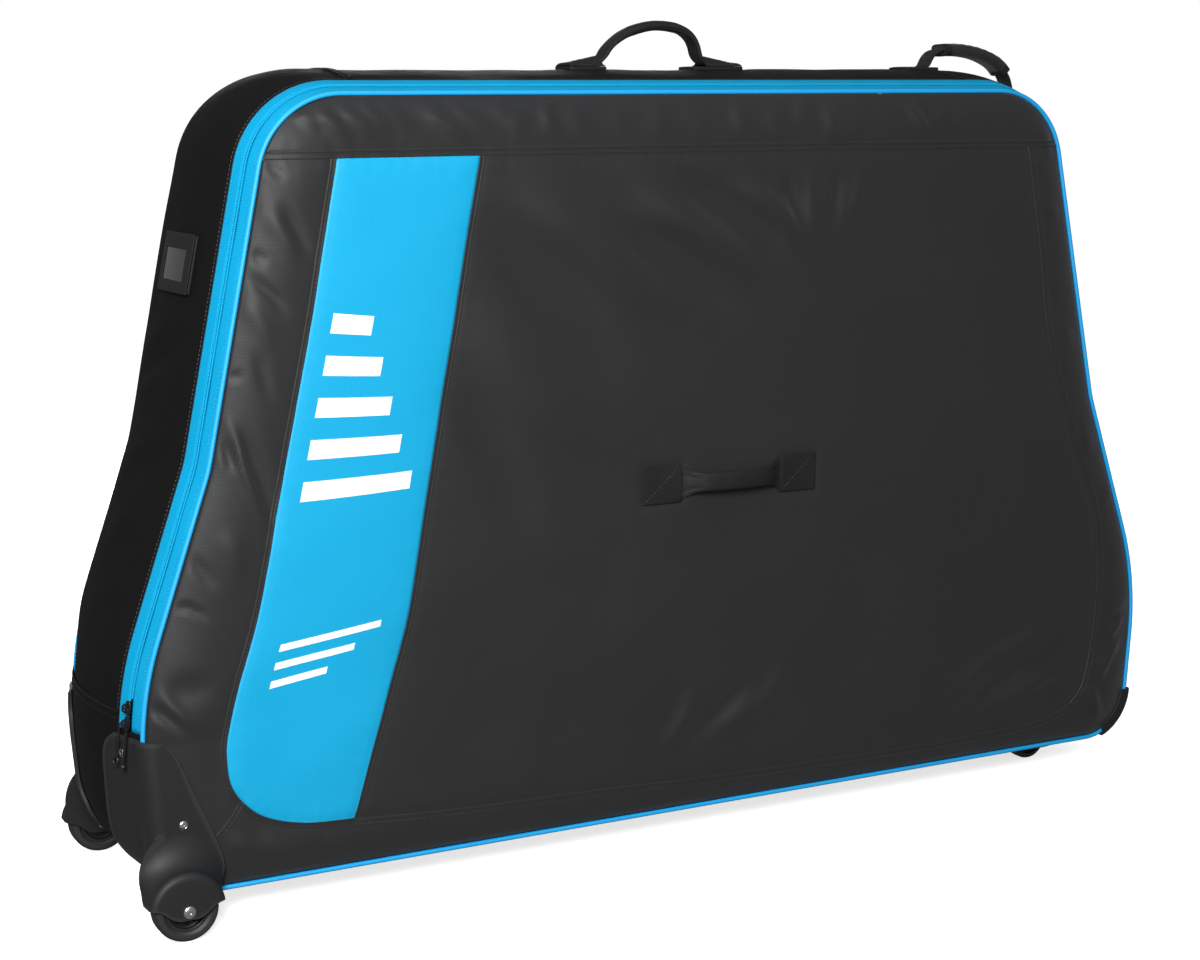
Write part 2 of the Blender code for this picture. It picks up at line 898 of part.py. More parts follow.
def pull_tab(name, frame, side, length, width, ending):
    # A wire through the slider's bridge, an arm beside the track and a flat tab that hangs from it.
    arm = side * pull_side
    reach = [Vector((0, -side * (bridge_width / 2 + pull_stub), 0)), Vector((0, arm, 0)),
             Vector((0, arm, -length * pull_arm_share))]
    body = welded_mesh(name, round_curve(name + "_wire", reach, pull_wire))
    middle = arm + side * (width / 2 - pull_bite)
    tab = block(name + "_tab", (-pull_wall * 0.45, middle - width / 2, -length),
                (pull_wall * 0.55, middle + width / 2, -length * pull_tab_share))
    shape = bmesh.new()
    tip = Matrix.Translation((pull_wall * 0.1, middle + 0.0001, -length - ending * pull_tip_sink))
    if ending == pull_ball_radius:
        bmesh.ops.create_uvsphere(shape, u_segments=11, v_segments=7, radius=ending, matrix=tip)
    else:
        bmesh.ops.create_cone(shape, cap_ends=True, segments=16, radius1=ending, radius2=ending,
                              depth=pull_wall * 1.2, matrix=tip @ Matrix.Rotation(math.radians(90), 4, "Y"))
    end = mesh_object(name + "_end", shape)
    for item in (body, tab, end):
        item.data.transform(frame)
    boolean(tab, hide(end), "UNION")
    boolean(body, hide(tab), "UNION")
    on_axis(show(body, webbing()), frame.translation)


def sliders():
    frame_a = slider("zip_slider_a", 0)
    frame_b = slider("zip_slider_b", 1)
    pull_tab("zip_pull_a", frame_a, -1, wide_pull_length, wide_pull_width, pull_ring_radius)
    pull_tab("zip_pull_b", frame_b, 1, slim_pull_length, slim_pull_width, pull_ball_radius)
    return frame_a, frame_b


# Fixed wheels, their guards and bolts

def guard_section(walk, start):
    # Points round the guard's inner face: the front plate, the rounded corner and the end plate.
    along = walk - start
    width = blend_value(along, guard_front_widths)
    edge = blend_value(along, guard_end_edges)
    level = face_level + gap
    radius = guard_corner_radius + gap
    inset = guard_corner_radius - 0.003
    section = [(-width, level), (-(width + inset) / 2, level)]
    for step in range(guard_corner_steps + 1):
        angle = math.radians(90 * step / guard_corner_steps)
        section.append((-inset + radius * math.sin(angle), level - radius + radius * math.cos(angle)))
    level_end = level - radius
    for share in (0.3, 0.65, 1.0):
        y = level_end + (edge - level_end) * share
        section.append((swell(walk, y) + lap_gap, y))
    return section


def guard_shell(name, side):
    start = walk_at_height(guard_top, -1)
    end = start + guard_front_widths[-1][0]
    extra = {start + along for along, width in guard_front_widths[1:-1]}
    columns = sorted(extra | set(breaks(start, end)))

    def place(walk, index):
        out, y = guard_section(walk, start)[index]
        return spot(walk, out, side * y)

    rows = list(range(len(guard_section(start, start))))
    if side > 0:
        rows.reverse()
    shape = surface(columns, rows, place, flip=True)
    return thicken(mesh_object(name, shape), guard_wall, outward=True)


def boot(name, side):
    # The swelled housing over a fixed wheel, with its well cut out and its lower edge trimmed.
    root_x, root_z, root_half, root_high = boot_root
    back = face_level + gap
    nose = wheel_y + tyre_width / 2 + wheel_side_play + boot_wall
    shape = bmesh.new()
    steps = 24
    rings = ((back, root_x, root_z, root_half, root_high),
             (nose - boot_nose_depth, 0, 0, boot_radius, boot_radius),
             (nose, 0, 0, boot_nose_radius, boot_nose_radius))
    for y, shift_x, shift_z, half, high in rings:
        for step in range(steps):
            angle = 2 * math.pi * step / steps
            shape.verts.new((wheel_x + shift_x + half * math.cos(angle), side * y,
                             wheel_radius + shift_z + high * math.sin(angle)))
    hull = bmesh.ops.convex_hull(shape, input=shape.verts[:])
    unused = set(hull["geom_interior"] + hull["geom_unused"])
    spare = [part for part in unused if isinstance(part, bmesh.types.BMVert)]
    bmesh.ops.delete(shape, geom=spare, context="VERTS")
    bmesh.ops.recalc_face_normals(shape, faces=shape.faces[:])
    item = mesh_object(name, shape)
    half_well = tyre_width / 2 + wheel_side_play
    well = cylinder(name + "_well", wheel_radius + well_clearance,
                    Vector((wheel_x, side * (wheel_y - half_well), wheel_radius)),
                    Vector((wheel_x, side * (wheel_y + half_well), wheel_radius)), sides=28)
    trim = [(-0.08, boot_lip_low), (-boot_lip_half, boot_lip_low), (-boot_cheek_half, -boot_cheek_low),
            (boot_cheek_half, -boot_cheek_low), (boot_lip_half, boot_lip_low), (0.08, boot_lip_low),
            (0.08, -0.06), (-0.08, -0.06)]
    points = [(wheel_x + x, wheel_radius + z) for x, z in reversed(trim)]
    shape = bmesh.new()
    face = shape.faces.new([shape.verts.new((x, side * 0.10, z)) for x, z in points])
    grown = bmesh.ops.extrude_face_region(shape, geom=[face])
    corners = [part for part in grown["geom"] if isinstance(part, bmesh.types.BMVert)]
    bmesh.ops.translate(shape, verts=corners, vec=(0, side * 0.10, 0))
    bmesh.ops.recalc_face_normals(shape, faces=shape.faces[:])
    boolean(item, hide(well))
    boolean(item, hide(mesh_object(name + "_trim", shape)))
    return hide(item)


def wheel_guard(name, side):
    item = guard_shell(name, side)
    boolean(item, boot(name + "_boot", side), "UNION")
    hole = cylinder(name + "_axle_hole", axle_radius + gap, Vector((wheel_x, side * 0.12, wheel_radius)),
                    Vector((wheel_x, side * 0.20, wheel_radius)), sides=20)
    boolean(item, hide(hole))
    x, z = face_rivet
    hole = cylinder(name + "_rivet_hole", rivet_shank + gap, Vector((x, side * 0.12, z)),
                    Vector((x, side * 0.20, z)), sides=12)
    boolean(item, hide(hole))
    return show(item, moulded_plastic(), 40)


def rivet_profile(shank):
    return [(0.0, rivet_head), (rivet_radius * 0.55, rivet_head * 0.85), (rivet_radius, gap),
            (rivet_shank, gap), (rivet_shank, -shank), (0.0, -shank)]


def rivets(name, side):
    x, z = face_rivet
    face = face_level + gap + guard_wall
    item = turned(name + "_face_rivet", rivet_profile(guard_wall), along_y(x, z, side * face, side), 14)
    show(item, bright_steel())
    height, y = end_rivet
    walk = walk_at_height(height, -1)
    seat = spot(walk, swell(walk, y) + lap_gap + guard_wall + gap, side * y)
    inward = spot(walk, swell(walk, y - rivet_seat), side * (y - rivet_seat))
    outer = spot(walk, swell(walk, y + rivet_seat), side * (y + rivet_seat))
    slope = (outer - inward).normalized()
    rise = (skin_point(walk - rivet_seat, side * y) - skin_point(walk + rivet_seat, side * y)).normalized()
    normal = slope.cross(rise)
    if normal.x > 0:
        normal = -normal
    place = Matrix.Translation(seat + normal * gap) @ normal.to_track_quat("Z", "Y").to_matrix().to_4x4()
    head = [(0.0, rivet_head), (rivet_radius * 0.55, rivet_head * 0.85), (rivet_radius, rivet_head * 0.12),
            (rivet_radius, 0.0), (0.0, 0.0)]
    show(turned(name + "_end_rivet", head, place, 14), bright_steel())


def axle_bolt(name, side):
    inner = face_level + axle_end_gap
    outer = wheel_y + tyre_width / 2 + wheel_side_play + boot_wall + gap
    length = outer - inner
    profile = [(0.0, axle_head_height), (axle_head_radius * 0.6, axle_head_height * 0.85),
               (axle_head_radius, axle_head_height * 0.3), (axle_head_radius, 0.0), (axle_radius, 0.0),
               (axle_radius, -length), (0.0, -length)]
    show(turned(name, profile, along_y(wheel_x, wheel_radius, side * outer, side), 20), bright_steel())


def fixed_wheel(name, side):
    place = along_y(wheel_x, wheel_radius, side * wheel_y, side)
    half = tyre_width / 2
    inner = wheel_radius - tyre_depth
    shoulder = wheel_radius - tyre_shoulder
    tread = wheel_radius - tyre_tread_round
    tyre = [(inner, half * 0.80), (shoulder, half), (tread, half * 0.78), (wheel_radius, half * 0.40),
            (wheel_radius, -half * 0.40), (tread, -half * 0.78), (shoulder, -half), (inner, -half * 0.80)]
    show(turned(name + "_tyre", tyre, place, 28), tyre_rubber())
    rim = inner - gap
    web = hub_web / 2
    inside = rim - hub_rim_wall
    hub = [(hub_bore, half * 0.96), (hub_boss_radius, half * 0.96), (hub_boss_radius, web), (inside, web),
           (inside, half * 0.8), (rim, half * 0.8), (rim, -half * 0.8), (inside, -half * 0.8), (inside, -web),
           (hub_boss_radius, -web), (hub_boss_radius, -half * 0.96), (hub_bore, -half * 0.96)]
    item = turned(name + "_hub", hub, place, 30)
    for step in range(hub_holes):
        angle = 2 * math.pi * (step + 0.5) / hub_holes
        x = wheel_x + hub_hole_circle * math.cos(angle)
        z = wheel_radius + hub_hole_circle * math.sin(angle)
        hole = cylinder(name + "_hub_hole", hub_hole_radius, Vector((x, side * (wheel_y - half), z)),
                        Vector((x, side * (wheel_y + half), z)), sides=10)
        boolean(item, hide(hole))
    show(item, moulded_plastic())


def corner_guard(name, side):
    # A narrow moulded rim round the lower right corner, over the panel's edge and the base.
    start = outline_length + walk_on_bottom(corner_guard_end)
    end = outline_length + walk_at_height(corner_guard_top, 1)
    lap = corner_guard_lap

    def place(walk, index):
        clear = piping_radius + gap
        nose = corner_guard_nose
        rim = ((-lap, half_depth + corner_guard_proud), (-nose, half_depth + clear + corner_guard_round),
               (nose, half_depth + clear), (clear + corner_guard_round, half_depth - clear),
               (None, half_depth - corner_guard_wrap))
        out, y = rim[index]
        if out is None:
            out = swell(walk, y) + lap_gap
        return spot(walk, out, side * y)

    rows = list(range(5))
    if side > 0:
        rows.reverse()
    shape = surface(breaks(start, end), rows, place, flip=True)
    show(thicken(mesh_object(name, shape), corner_guard_wall, outward=True), moulded_plastic())


# Casters

def caster(name, side):
    y = side * caster_y
    place = Matrix.Translation((caster_x, y, 0))
    floor_skin = bottom_height - base_crown
    flange_top = floor_skin - gap
    flange_low = flange_top - housing_wall
    outer = housing_bore + housing_wall
    under = housing_top - housing_wall
    boss_low = under - housing_boss_drop
    bore = stem_radius + stem_play
    housing = [(bore, housing_top), (outer, housing_top), (outer, flange_top), (housing_flange, flange_top),
               (housing_flange, flange_low), (housing_bore, flange_low), (housing_bore, under),
               (housing_boss_radius, under), (housing_boss_radius, boss_low), (bore, boss_low)]
    show(turned(name + "_housing", housing, place, 24), moulded_plastic())
    wheel_x_here = caster_x + caster_trail
    leg_in = caster_wheel_width / 2 + fork_side_play
    leg_out = leg_in + fork_leg_wall
    crown_top = fork_crown + fork_crown_wall
    fork = cylinder(name + "_fork", fork_crown_radius, Vector((caster_x, y, fork_crown)),
                    Vector((caster_x, y, crown_top)))
    stem = cylinder(name + "_stem", stem_radius, Vector((caster_x, y, crown_top - fork_joint)),
                    Vector((caster_x, y, housing_top - housing_wall)), sides=20)
    boolean(fork, hide(stem), "UNION")
    for leg in (-1, 1):
        centre = y + leg * (leg_in + fork_leg_wall / 2)
        cheek = [(wheel_x_here - fork_leg_half * math.cos(math.radians(angle)),
                  caster_wheel_radius - fork_leg_half * math.sin(math.radians(angle)))
                 for angle in (0, 45, 90, 135, 180)]
        cheek += [(caster_x + fork_leg_front, fork_crown + fork_leg_bite),
                  (caster_x - fork_leg_back, fork_crown + fork_leg_bite)]
        shape = bmesh.new()
        face = shape.faces.new([shape.verts.new((x, centre - fork_leg_wall / 2, z)) for x, z in cheek])
        grown = bmesh.ops.extrude_face_region(shape, geom=[face])
        corners = [part for part in grown["geom"] if isinstance(part, bmesh.types.BMVert)]
        bmesh.ops.translate(shape, verts=corners, vec=(0, fork_leg_wall, 0))
        bmesh.ops.recalc_face_normals(shape, faces=shape.faces[:])
        boolean(fork, hide(mesh_object(name + "_leg", shape)), "UNION")
    hole = cylinder(name + "_axle_hole", caster_axle_radius + gap,
                    Vector((wheel_x_here, y - 0.03, caster_wheel_radius)),
                    Vector((wheel_x_here, y + 0.03, caster_wheel_radius)), sides=16)
    boolean(fork, hide(hole))
    show(fork, moulded_plastic())
    half = caster_wheel_width / 2
    side_radius = caster_wheel_radius - caster_tread_round
    tread_half = half - caster_tread_round
    wheel = [(caster_bore, half), (side_radius, half), (caster_wheel_radius, tread_half),
             (caster_wheel_radius, -tread_half), (side_radius, -half), (caster_bore, -half)]
    show(turned(name + "_wheel", wheel, along_y(wheel_x_here, caster_wheel_radius, y, -1), 24), tyre_rubber())
    length = 2 * leg_out + gap
    profile = [(0.0, caster_head_height), (caster_head_radius, caster_head_height * 0.5),
               (caster_head_radius, 0.0), (caster_axle_radius, 0.0), (caster_axle_radius, -length),
               (0.0, -length)]
    seat = along_y(wheel_x_here, caster_wheel_radius, y - leg_out - gap, -1)
    show(turned(name + "_axle", profile, seat, 16), bright_steel())


# Handles

def anchor(name, start, end):
    columns = breaks(start, end)
    ys = depth_rows(-anchor_half_width, anchor_half_width, 4)
    strip(name, columns, ys, anchor_wall, webbing(), lift=gap, outward=True)


def foot_level():
    return end_crown + gap + anchor_wall + gap + foot_radius


def loop_object(name, route, half_sizes, axis_point, finish):
    item = mesh_object(name, strap_shape(route, half_sizes, Vector((0, 1, 0))))
    return on_axis(show(item, finish), axis_point)


def top_handle():
    for name, (low, high) in zip(("top_handle_anchor_left", "top_handle_anchor_right"), top_anchor_spans):
        anchor(name, walk_on_top(high), walk_on_top(low))
    base = top_height + foot_level()
    points = [Vector((top_handle_start + along, 0, base + rise)) for along, rise in top_handle_rise]
    route = smooth_route(points, 3)

    def half_sizes(share):
        inside = min(share, 1 - share)
        thick = blend_value(inside, ((0, foot_radius), (0.10, foot_radius), (0.20, strap_half_thickness),
                                     (0.28, strap_half_thickness), (0.38, top_grip_half_thickness)))
        wide = blend_value(inside, ((0, foot_radius), (0.10, foot_radius), (0.26, strap_half_width)))
        return thick, wide

    loop_object("top_handle_loop", route, half_sizes, Vector((top_handle_start, 0, base)), webbing())


def tow_feet():
    left = spot(walk_on_top(tow_foot_x), foot_level(), 0)
    right = spot(shoulder_walk() - sum(tow_right_span) / 2, foot_level(), 0)
    return left, right


def shoulder_walk():
    # Where the straight top run begins, after the right shoulder's arc.
    arcs = [run for run in outline if run[0] == "arc" and run[4] == top_radius]
    right = min(arcs, key=lambda run: run[1])
    return right[1] + right[2]


def tow_handle():
    anchor("tow_handle_anchor_left", walk_on_top(tow_left_span[1]), walk_on_top(tow_left_span[0]))
    start, end = (shoulder_walk() - along for along in tow_right_span)
    anchor("tow_handle_anchor_right", start, end)
    left, right = tow_feet()
    points = [left] + [Vector((x, 0, z)) for x, z in tow_route] + [right]
    route = smooth_route(points, 3)

    def half_sizes(share):
        thick = blend_value(share, ((0, foot_radius), (0.10, tow_strap_half_thickness),
                                    (0.90, tow_strap_half_thickness), (1, foot_radius)))
        wide = blend_value(share, ((0, foot_radius), (0.14, tow_strap_half), (0.86, tow_strap_half),
                                   (1, foot_radius)))
        return thick, wide

    loop_object("tow_handle_strap", route, half_sizes, left, webbing())
    count = len(route) - 1
    held = route[round(count * tow_grip_from):round(count * tow_grip_to) + 1]
    shape = strap_shape(held, lambda share: (tow_grip_half_thickness, tow_grip_half_width), Vector((0, 1, 0)),
                        sides=12, open_ends=True)
    bmesh.ops.recalc_face_normals(shape, faces=shape.faces[:])
    item = thicken(mesh_object("tow_handle_grip", shape), tow_grip_wall)
    show(item, webbing())


def grab_handle():
    level = -(face_level + gap + patch_wall / 2)
    for name, x in (("grab_patch_left", patch_left_x), ("grab_patch_right", patch_right_x)):
        low = (x - patch_width / 2, level - patch_wall / 2, patch_z - patch_height / 2)
        high = (x + patch_width / 2, level + patch_wall / 2, patch_z + patch_height / 2)
        show(block(name, low, high), webbing())
    seat = -(face_level + gap + patch_wall + gap + grab_end_thickness)
    left = patch_left_x + patch_width / 2 - grab_inset * 0.6
    right = patch_right_x - patch_width / 2 + grab_inset * 0.6
    points = [Vector((left, seat, patch_z)), Vector((left + grab_inset, seat - grab_stand * 0.45, patch_z)),
              Vector((left + 2 * grab_inset, seat - grab_stand * 0.9, patch_z)),
              Vector(((left + right) / 2, seat - grab_stand, patch_z)),
              Vector((right - 2 * grab_inset, seat - grab_stand * 0.9, patch_z)),
              Vector((right - grab_inset, seat - grab_stand * 0.45, patch_z)), Vector((right, seat, patch_z))]
    route = smooth_route(points, 2)

    def half_sizes(share):
        inside = min(share, 1 - share)
        return blend_value(inside, ((0, grab_end_thickness), (0.3, grab_half_thickness))), grab_half_width

    show(mesh_object("grab_strap", strap_shape(route, half_sizes, Vector((0, 0, 1)))), webbing())


def label_pocket():
    half = pocket_width / 2
    columns = breaks(walk_at_height(pocket_top, -1), walk_at_height(pocket_bottom, -1))
    strip("label_pocket_back", columns, depth_rows(-half, half, 8), pocket_wall, webbing(), lift=lap_gap,
          outward=True)
    half = window_width / 2
    columns = breaks(walk_at_height(window_top, -1), walk_at_height(window_bottom, -1))
    strip("label_pocket_window", columns, depth_rows(-half, half, 6), window_wall, clear_film(),
          lift=lap_gap + gap + pocket_wall, outward=True)


# Inside

def floor_board():
    low = bottom_height + board_lift
    item = block("floor_board", (-board_half_length, -board_half_width, low),
                 (board_half_length, board_half_width, low + board_wall))
    for side in (-1, 1):
        hole = caster_cutter("board_hole", side)
        boolean(item, hide(hole))
    show(item, moulded_plastic())
    top = low + board_wall + gap
    show(block("frame_block", (block_x - block_length / 2, -block_width / 2, top),
               (block_x + block_length / 2, block_width / 2, top + block_height), 0.004), soft_foam())
    show(block("hold_down_strap", (hold_down_x - strap_width / 2, -strap_reach, top),
               (hold_down_x + strap_width / 2, strap_reach, top + strap_wall)), webbing())


clear_scene()
parts = new_collection("bike_travel_case")
cutters = new_collection("cutters")
outline, outline_length = fillet_path(case_corners())
top_run = outline[7]
middle_walk = top_run[1] + top_run[2] / 2
left_fold = walk_at_height(left_zip_end, -1)
right_fold = walk_at_height(right_zip_end, 1)

front_panels()
bands()
rear_panel()
lid_foam()
rear_foam()
gussets()
kick_panel()
base_panel()
pipings()
zips()
pull_frames = sliders()
for end_name, end_side in (("front", -1), ("rear", 1)):
    wheel_guard("wheel_guard_" + end_name, end_side)
    rivets("guard_" + end_name, end_side)
    axle_bolt("axle_bolt_" + end_name, end_side)
    fixed_wheel("wheel_" + end_name, end_side)
    corner_guard("corner_guard_" + end_name, end_side)
    caster("caster_" + end_name, end_side)
top_handle()
tow_handle()
grab_handle()
label_pocket()
floor_board()


def rounded(values):
    return [round(value, 5) for value in values]


# The places and directions of the joints
arc_centre, arc_start = knuckle_arc()
free_track = (slider_walk(1) - arc_start) / knuckle_radius
print("fold axis", rounded(fold_point()), rounded(fold_direction()))
print("slider axis", rounded(arc_centre), "range", round(math.degrees(free_track), 2))
for frame in pull_frames:
    print("pull pivot", rounded(frame.translation), "axis", rounded(-frame.col[1].xyz))
print("tow feet", [rounded(foot) for foot in tow_feet()])
print("handle foot height", round(top_height + foot_level(), 5))
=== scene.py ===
# Looks of the bike travel case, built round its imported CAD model. Lengths are in metres.
import json
import math

import bmesh
import bpy
import numpy as np
from mathutils import Matrix, Vector
from mathutils.bvhtree import BVHTree
from mathutils.kdtree import KDTree


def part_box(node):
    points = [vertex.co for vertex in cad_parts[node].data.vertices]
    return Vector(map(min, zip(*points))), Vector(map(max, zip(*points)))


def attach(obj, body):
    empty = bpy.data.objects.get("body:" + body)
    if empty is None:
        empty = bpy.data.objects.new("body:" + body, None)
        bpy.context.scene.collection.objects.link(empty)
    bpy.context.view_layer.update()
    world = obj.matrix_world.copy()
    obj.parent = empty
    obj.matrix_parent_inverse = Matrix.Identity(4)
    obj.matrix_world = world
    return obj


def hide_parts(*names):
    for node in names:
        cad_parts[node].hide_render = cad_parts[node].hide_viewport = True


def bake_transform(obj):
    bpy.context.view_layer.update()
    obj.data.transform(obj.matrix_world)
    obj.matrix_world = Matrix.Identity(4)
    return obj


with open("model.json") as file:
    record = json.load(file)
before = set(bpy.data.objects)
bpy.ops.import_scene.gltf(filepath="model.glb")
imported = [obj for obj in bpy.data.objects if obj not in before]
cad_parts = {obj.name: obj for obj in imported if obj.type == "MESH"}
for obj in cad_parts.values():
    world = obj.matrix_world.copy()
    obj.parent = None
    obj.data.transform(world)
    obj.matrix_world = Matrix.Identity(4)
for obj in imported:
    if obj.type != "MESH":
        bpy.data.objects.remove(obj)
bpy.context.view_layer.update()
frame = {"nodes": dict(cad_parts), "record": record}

print("frame loaded")


def packed(*parts):
    return np.stack(parts, axis=-1)


def unit(share):
    return np.clip(share, 0, 1)


def smooth(share):
    return share * share * (3 - 2 * share)


# The case's outline and depth, as in the CAD
caseShape = {
    "corners": ((0.6205, 0.035, 0.06), (0.635, 0.23, 0.35), (0.554, 0.4635, 0.15), (0.479, 0.828, 0.09)),
    "halfDepth": 0.125,
    "endCrown": 0.025,
    "baseCrown": 0.003,
    "crownRise": 0.085,
    "panelCrown": 0.012,
    "panelBorder": 0.06,
    "edgeInset": 0.0028,
    "sewnEdge": 0.1222,
    "gussetFront": -0.0861,
    "kickTop": 0.217,
    "kickBottom": 0.056,
    "kickNotch": 0.2034,
    "baseTop": 0.092,
    "shoulderSeam": 0.38,
    "leftFold": 0.205,
    "rightFold": 0.095,
}
halfDepth = caseShape["halfDepth"]
faceLevel = halfDepth + caseShape["panelCrown"]
foldPoint = Vector((0.0, -0.139, 0.14978))
foldUp = Vector((0.08732, 0.0, 0.99618))
foldReach = foldUp * 0.02


def filletPath(corners):
    # Straight runs and corner arcs round the outline, counter-clockwise seen from the front.
    arcs = []
    for index, (x, z, radius) in enumerate(corners):
        here = Vector((x, z))
        before = Vector(corners[index - 1][:2])
        after = Vector(corners[(index + 1) % len(corners)][:2])
        inward = (here - before).normalized()
        outward = (after - here).normalized()
        turn = math.atan2(inward.x * outward.y - inward.y * outward.x, inward.dot(outward))
        reach = radius * math.tan(abs(turn) / 2)
        start = here - inward * reach
        side = math.copysign(1, turn)
        centre = start + Vector((-inward.y, inward.x)) * radius * side
        arcs.append((start, here + outward * reach, centre, radius, turn))
    runs = []
    walked = 0.0
    for index, (start, end, centre, radius, turn) in enumerate(arcs):
        runs.append((walked, abs(turn) * radius, start, centre, turn))
        walked += abs(turn) * radius
        ahead = arcs[(index + 1) % len(arcs)][0]
        runs.append((walked, (ahead - end).length, end, None, (ahead - end).normalized()))
        walked += (ahead - end).length
    return runs, walked


def outlineAt(walk):
    walk = walk % outlineLength
    for started, length, start, centre, turn in outline:
        if walk <= started + length:
            break
    if centre is None:
        return start + turn * (walk - started), Vector((turn.y, -turn.x))
    spoke = Matrix.Rotation((walk - started) / length * turn, 2) @ (start - centre)
    return centre + spoke, spoke.normalized() * math.copysign(1, turn)


rightCorners = list(caseShape["corners"])
outline, outlineLength = filletPath(rightCorners + [(-x, z, r) for x, z, r in reversed(rightCorners)])
middleWalk = outline[7][0] + outline[7][1] / 2
sampleWalks = np.linspace(0.0, outlineLength, 4801)
samples = np.array([(*outlineAt(walk)[0], *outlineAt(walk)[1]) for walk in sampleWalks])


def edgeAt(walk):
    # Outline point and outward normal for many distances at once.
    walk = np.mod(walk, outlineLength)
    return [np.interp(walk, sampleWalks, samples[:, item]) for item in range(4)]


def walkAtHeight(height, side):
    climb = sampleWalks <= middleWalk
    low = float(np.interp(height, samples[climb, 1], sampleWalks[climb]))
    return low if side > 0 else 2 * middleWalk - low


def crownAt(z):
    share = unit((z - 0.035) / caseShape["crownRise"])
    low, high = caseShape["baseCrown"], caseShape["endCrown"]
    return low + (high - low) * smooth(share)


def skin(walk, y, lift=0.0):
    # Points on the gusset's outer face, at a distance round the outline and a depth.
    x, z, nx, nz = edgeAt(walk)
    out = crownAt(z) * (1 - (y / halfDepth) ** 2) + lift
    return packed(x + nx * out, y + 0 * x, z + nz * out)


def spot(walk, out, y):
    x, z, nx, nz = edgeAt(walk)
    return packed(x + nx * out, y + 0 * x, z + nz * out)


leftFold = walkAtHeight(caseShape["leftFold"], -1)
rightFold = walkAtHeight(caseShape["rightFold"], 1)


# Making meshes

def addPiece(name, shape, finish, angle=35):
    mesh = bpy.data.meshes.new(name)
    shape.to_mesh(mesh)
    shape.free()
    piece = bpy.data.objects.new(name, mesh)
    bpy.context.scene.collection.objects.link(piece)
    mesh.materials.append(finish)
    mesh.shade_smooth()
    mesh.set_sharp_from_angle(angle=math.radians(angle))
    return piece


def gridPiece(name, across, up, place, finish, angle=35, closed=False, ends=False, drop=None):
    # A grid moved to place(u, v), which gives points and their UVs in metres; closed joins its sides.
    shape = bmesh.new()
    uvLayer = shape.loops.layers.uv.new("weave")
    bmesh.ops.create_grid(shape, x_segments=across, y_segments=up, size=1)
    shape.verts.ensure_lookup_table()
    flat = np.array([corner.co[:2] for corner in shape.verts])
    points, uvs = place((flat[:, 0] + 1) / 2, (flat[:, 1] + 1) / 2)
    for corner, point in zip(shape.verts, points):
        corner.co = point
    for face in shape.faces:
        for loop in face.loops:
            loop[uvLayer].uv = uvs[loop.vert.index]
    if drop is not None:
        unwanted = [face for face in shape.faces if drop(face.calc_center_median())]
        bmesh.ops.delete(shape, geom=unwanted, context="FACES")
    if closed:
        bmesh.ops.remove_doubles(shape, verts=shape.verts[:], dist=0.00002)
    if ends:
        bmesh.ops.holes_fill(shape, edges=[edge for edge in shape.edges if edge.is_boundary])
    bmesh.ops.recalc_face_normals(shape, faces=shape.faces[:])
    return addPiece(name, shape, finish, angle)


def prism(name, corners, push, finish):
    # A flat outline pushed through along one direction.
    shape = bmesh.new()
    face = shape.faces.new([shape.verts.new(corner) for corner in corners])
    grown = bmesh.ops.extrude_face_region(shape, geom=[face])
    moved = [part for part in grown["geom"] if isinstance(part, bmesh.types.BMVert)]
    bmesh.ops.translate(shape, verts=moved, vec=push)
    bmesh.ops.recalc_face_normals(shape, faces=shape.faces[:])
    return addPiece(name, shape, finish)


def faceOut(piece, outward):
    # Turns an open sheet over where its faces don't look along outward(centre).
    total = sum(face.normal.dot(outward(face.center)) * face.area for face in piece.data.polygons)
    if total < 0:
        piece.data.flip_normals()
    return piece


def wall(piece, thickness, rim=0.0, segments=2, offset=-1.0):
    solid = piece.modifiers.new("Wall", "SOLIDIFY")
    solid.thickness = thickness
    solid.offset = offset
    solid.use_even_offset = True
    if rim:
        soften(piece, rim, segments)
    return piece


def soften(piece, width, segments=2, angle=40):
    edge = piece.modifiers.new("Edge", "BEVEL")
    edge.width = width
    edge.segments = segments
    edge.limit_method = "ANGLE"
    edge.angle_limit = math.radians(angle)
    return piece


def finishMesh(piece):
    # Applies every modifier.
    bpy.context.view_layer.update()
    made = bpy.data.meshes.new_from_object(piece.evaluated_get(bpy.context.evaluated_depsgraph_get()))
    piece.modifiers.clear()
    old = piece.data
    piece.data = made
    made.name = piece.name
    bpy.data.meshes.remove(old)
    return piece


def joined(name, pieces):
    # One piece from several finished ones.
    shape = bmesh.new()
    finish = pieces[0].data.materials[0]
    for piece in pieces:
        finishMesh(piece)
        shape.from_mesh(piece.data)
        bpy.data.objects.remove(piece, do_unlink=True)
    return addPiece(name, shape, finish)


def cut(piece, tool, operation="DIFFERENCE"):
    step = piece.modifiers.new("Cut", "BOOLEAN")
    step.operation = operation
    step.object = tool
    finishMesh(piece)
    bpy.data.objects.remove(tool, do_unlink=True)
    return piece


def outwardFromMiddle(point):
    return Vector((point.x, 0, point.z - 0.42))


def forward(point):
    return Vector((0, -1, 0))


def stand(piece, body, slotName, *nodes, blend=None):
    # blend gives the stretch over which a sewn strap turns from the case to its own body, but only whether
    # it is given is read: then the piece's modifiers are applied, its place is baked in and it is not
    # attached to a body; the stretch itself is not used.
    if blend:
        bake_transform(finishMesh(piece))
    else:
        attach(piece, body)
    if nodes:
        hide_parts(*nodes)
    return piece


def bend(piece, slotName, *nodes):
    # Fabric that crosses the line where the front folds open.
    return stand(piece, "lid", slotName, *nodes, blend=(foldPoint - foldReach, foldPoint + foldReach))


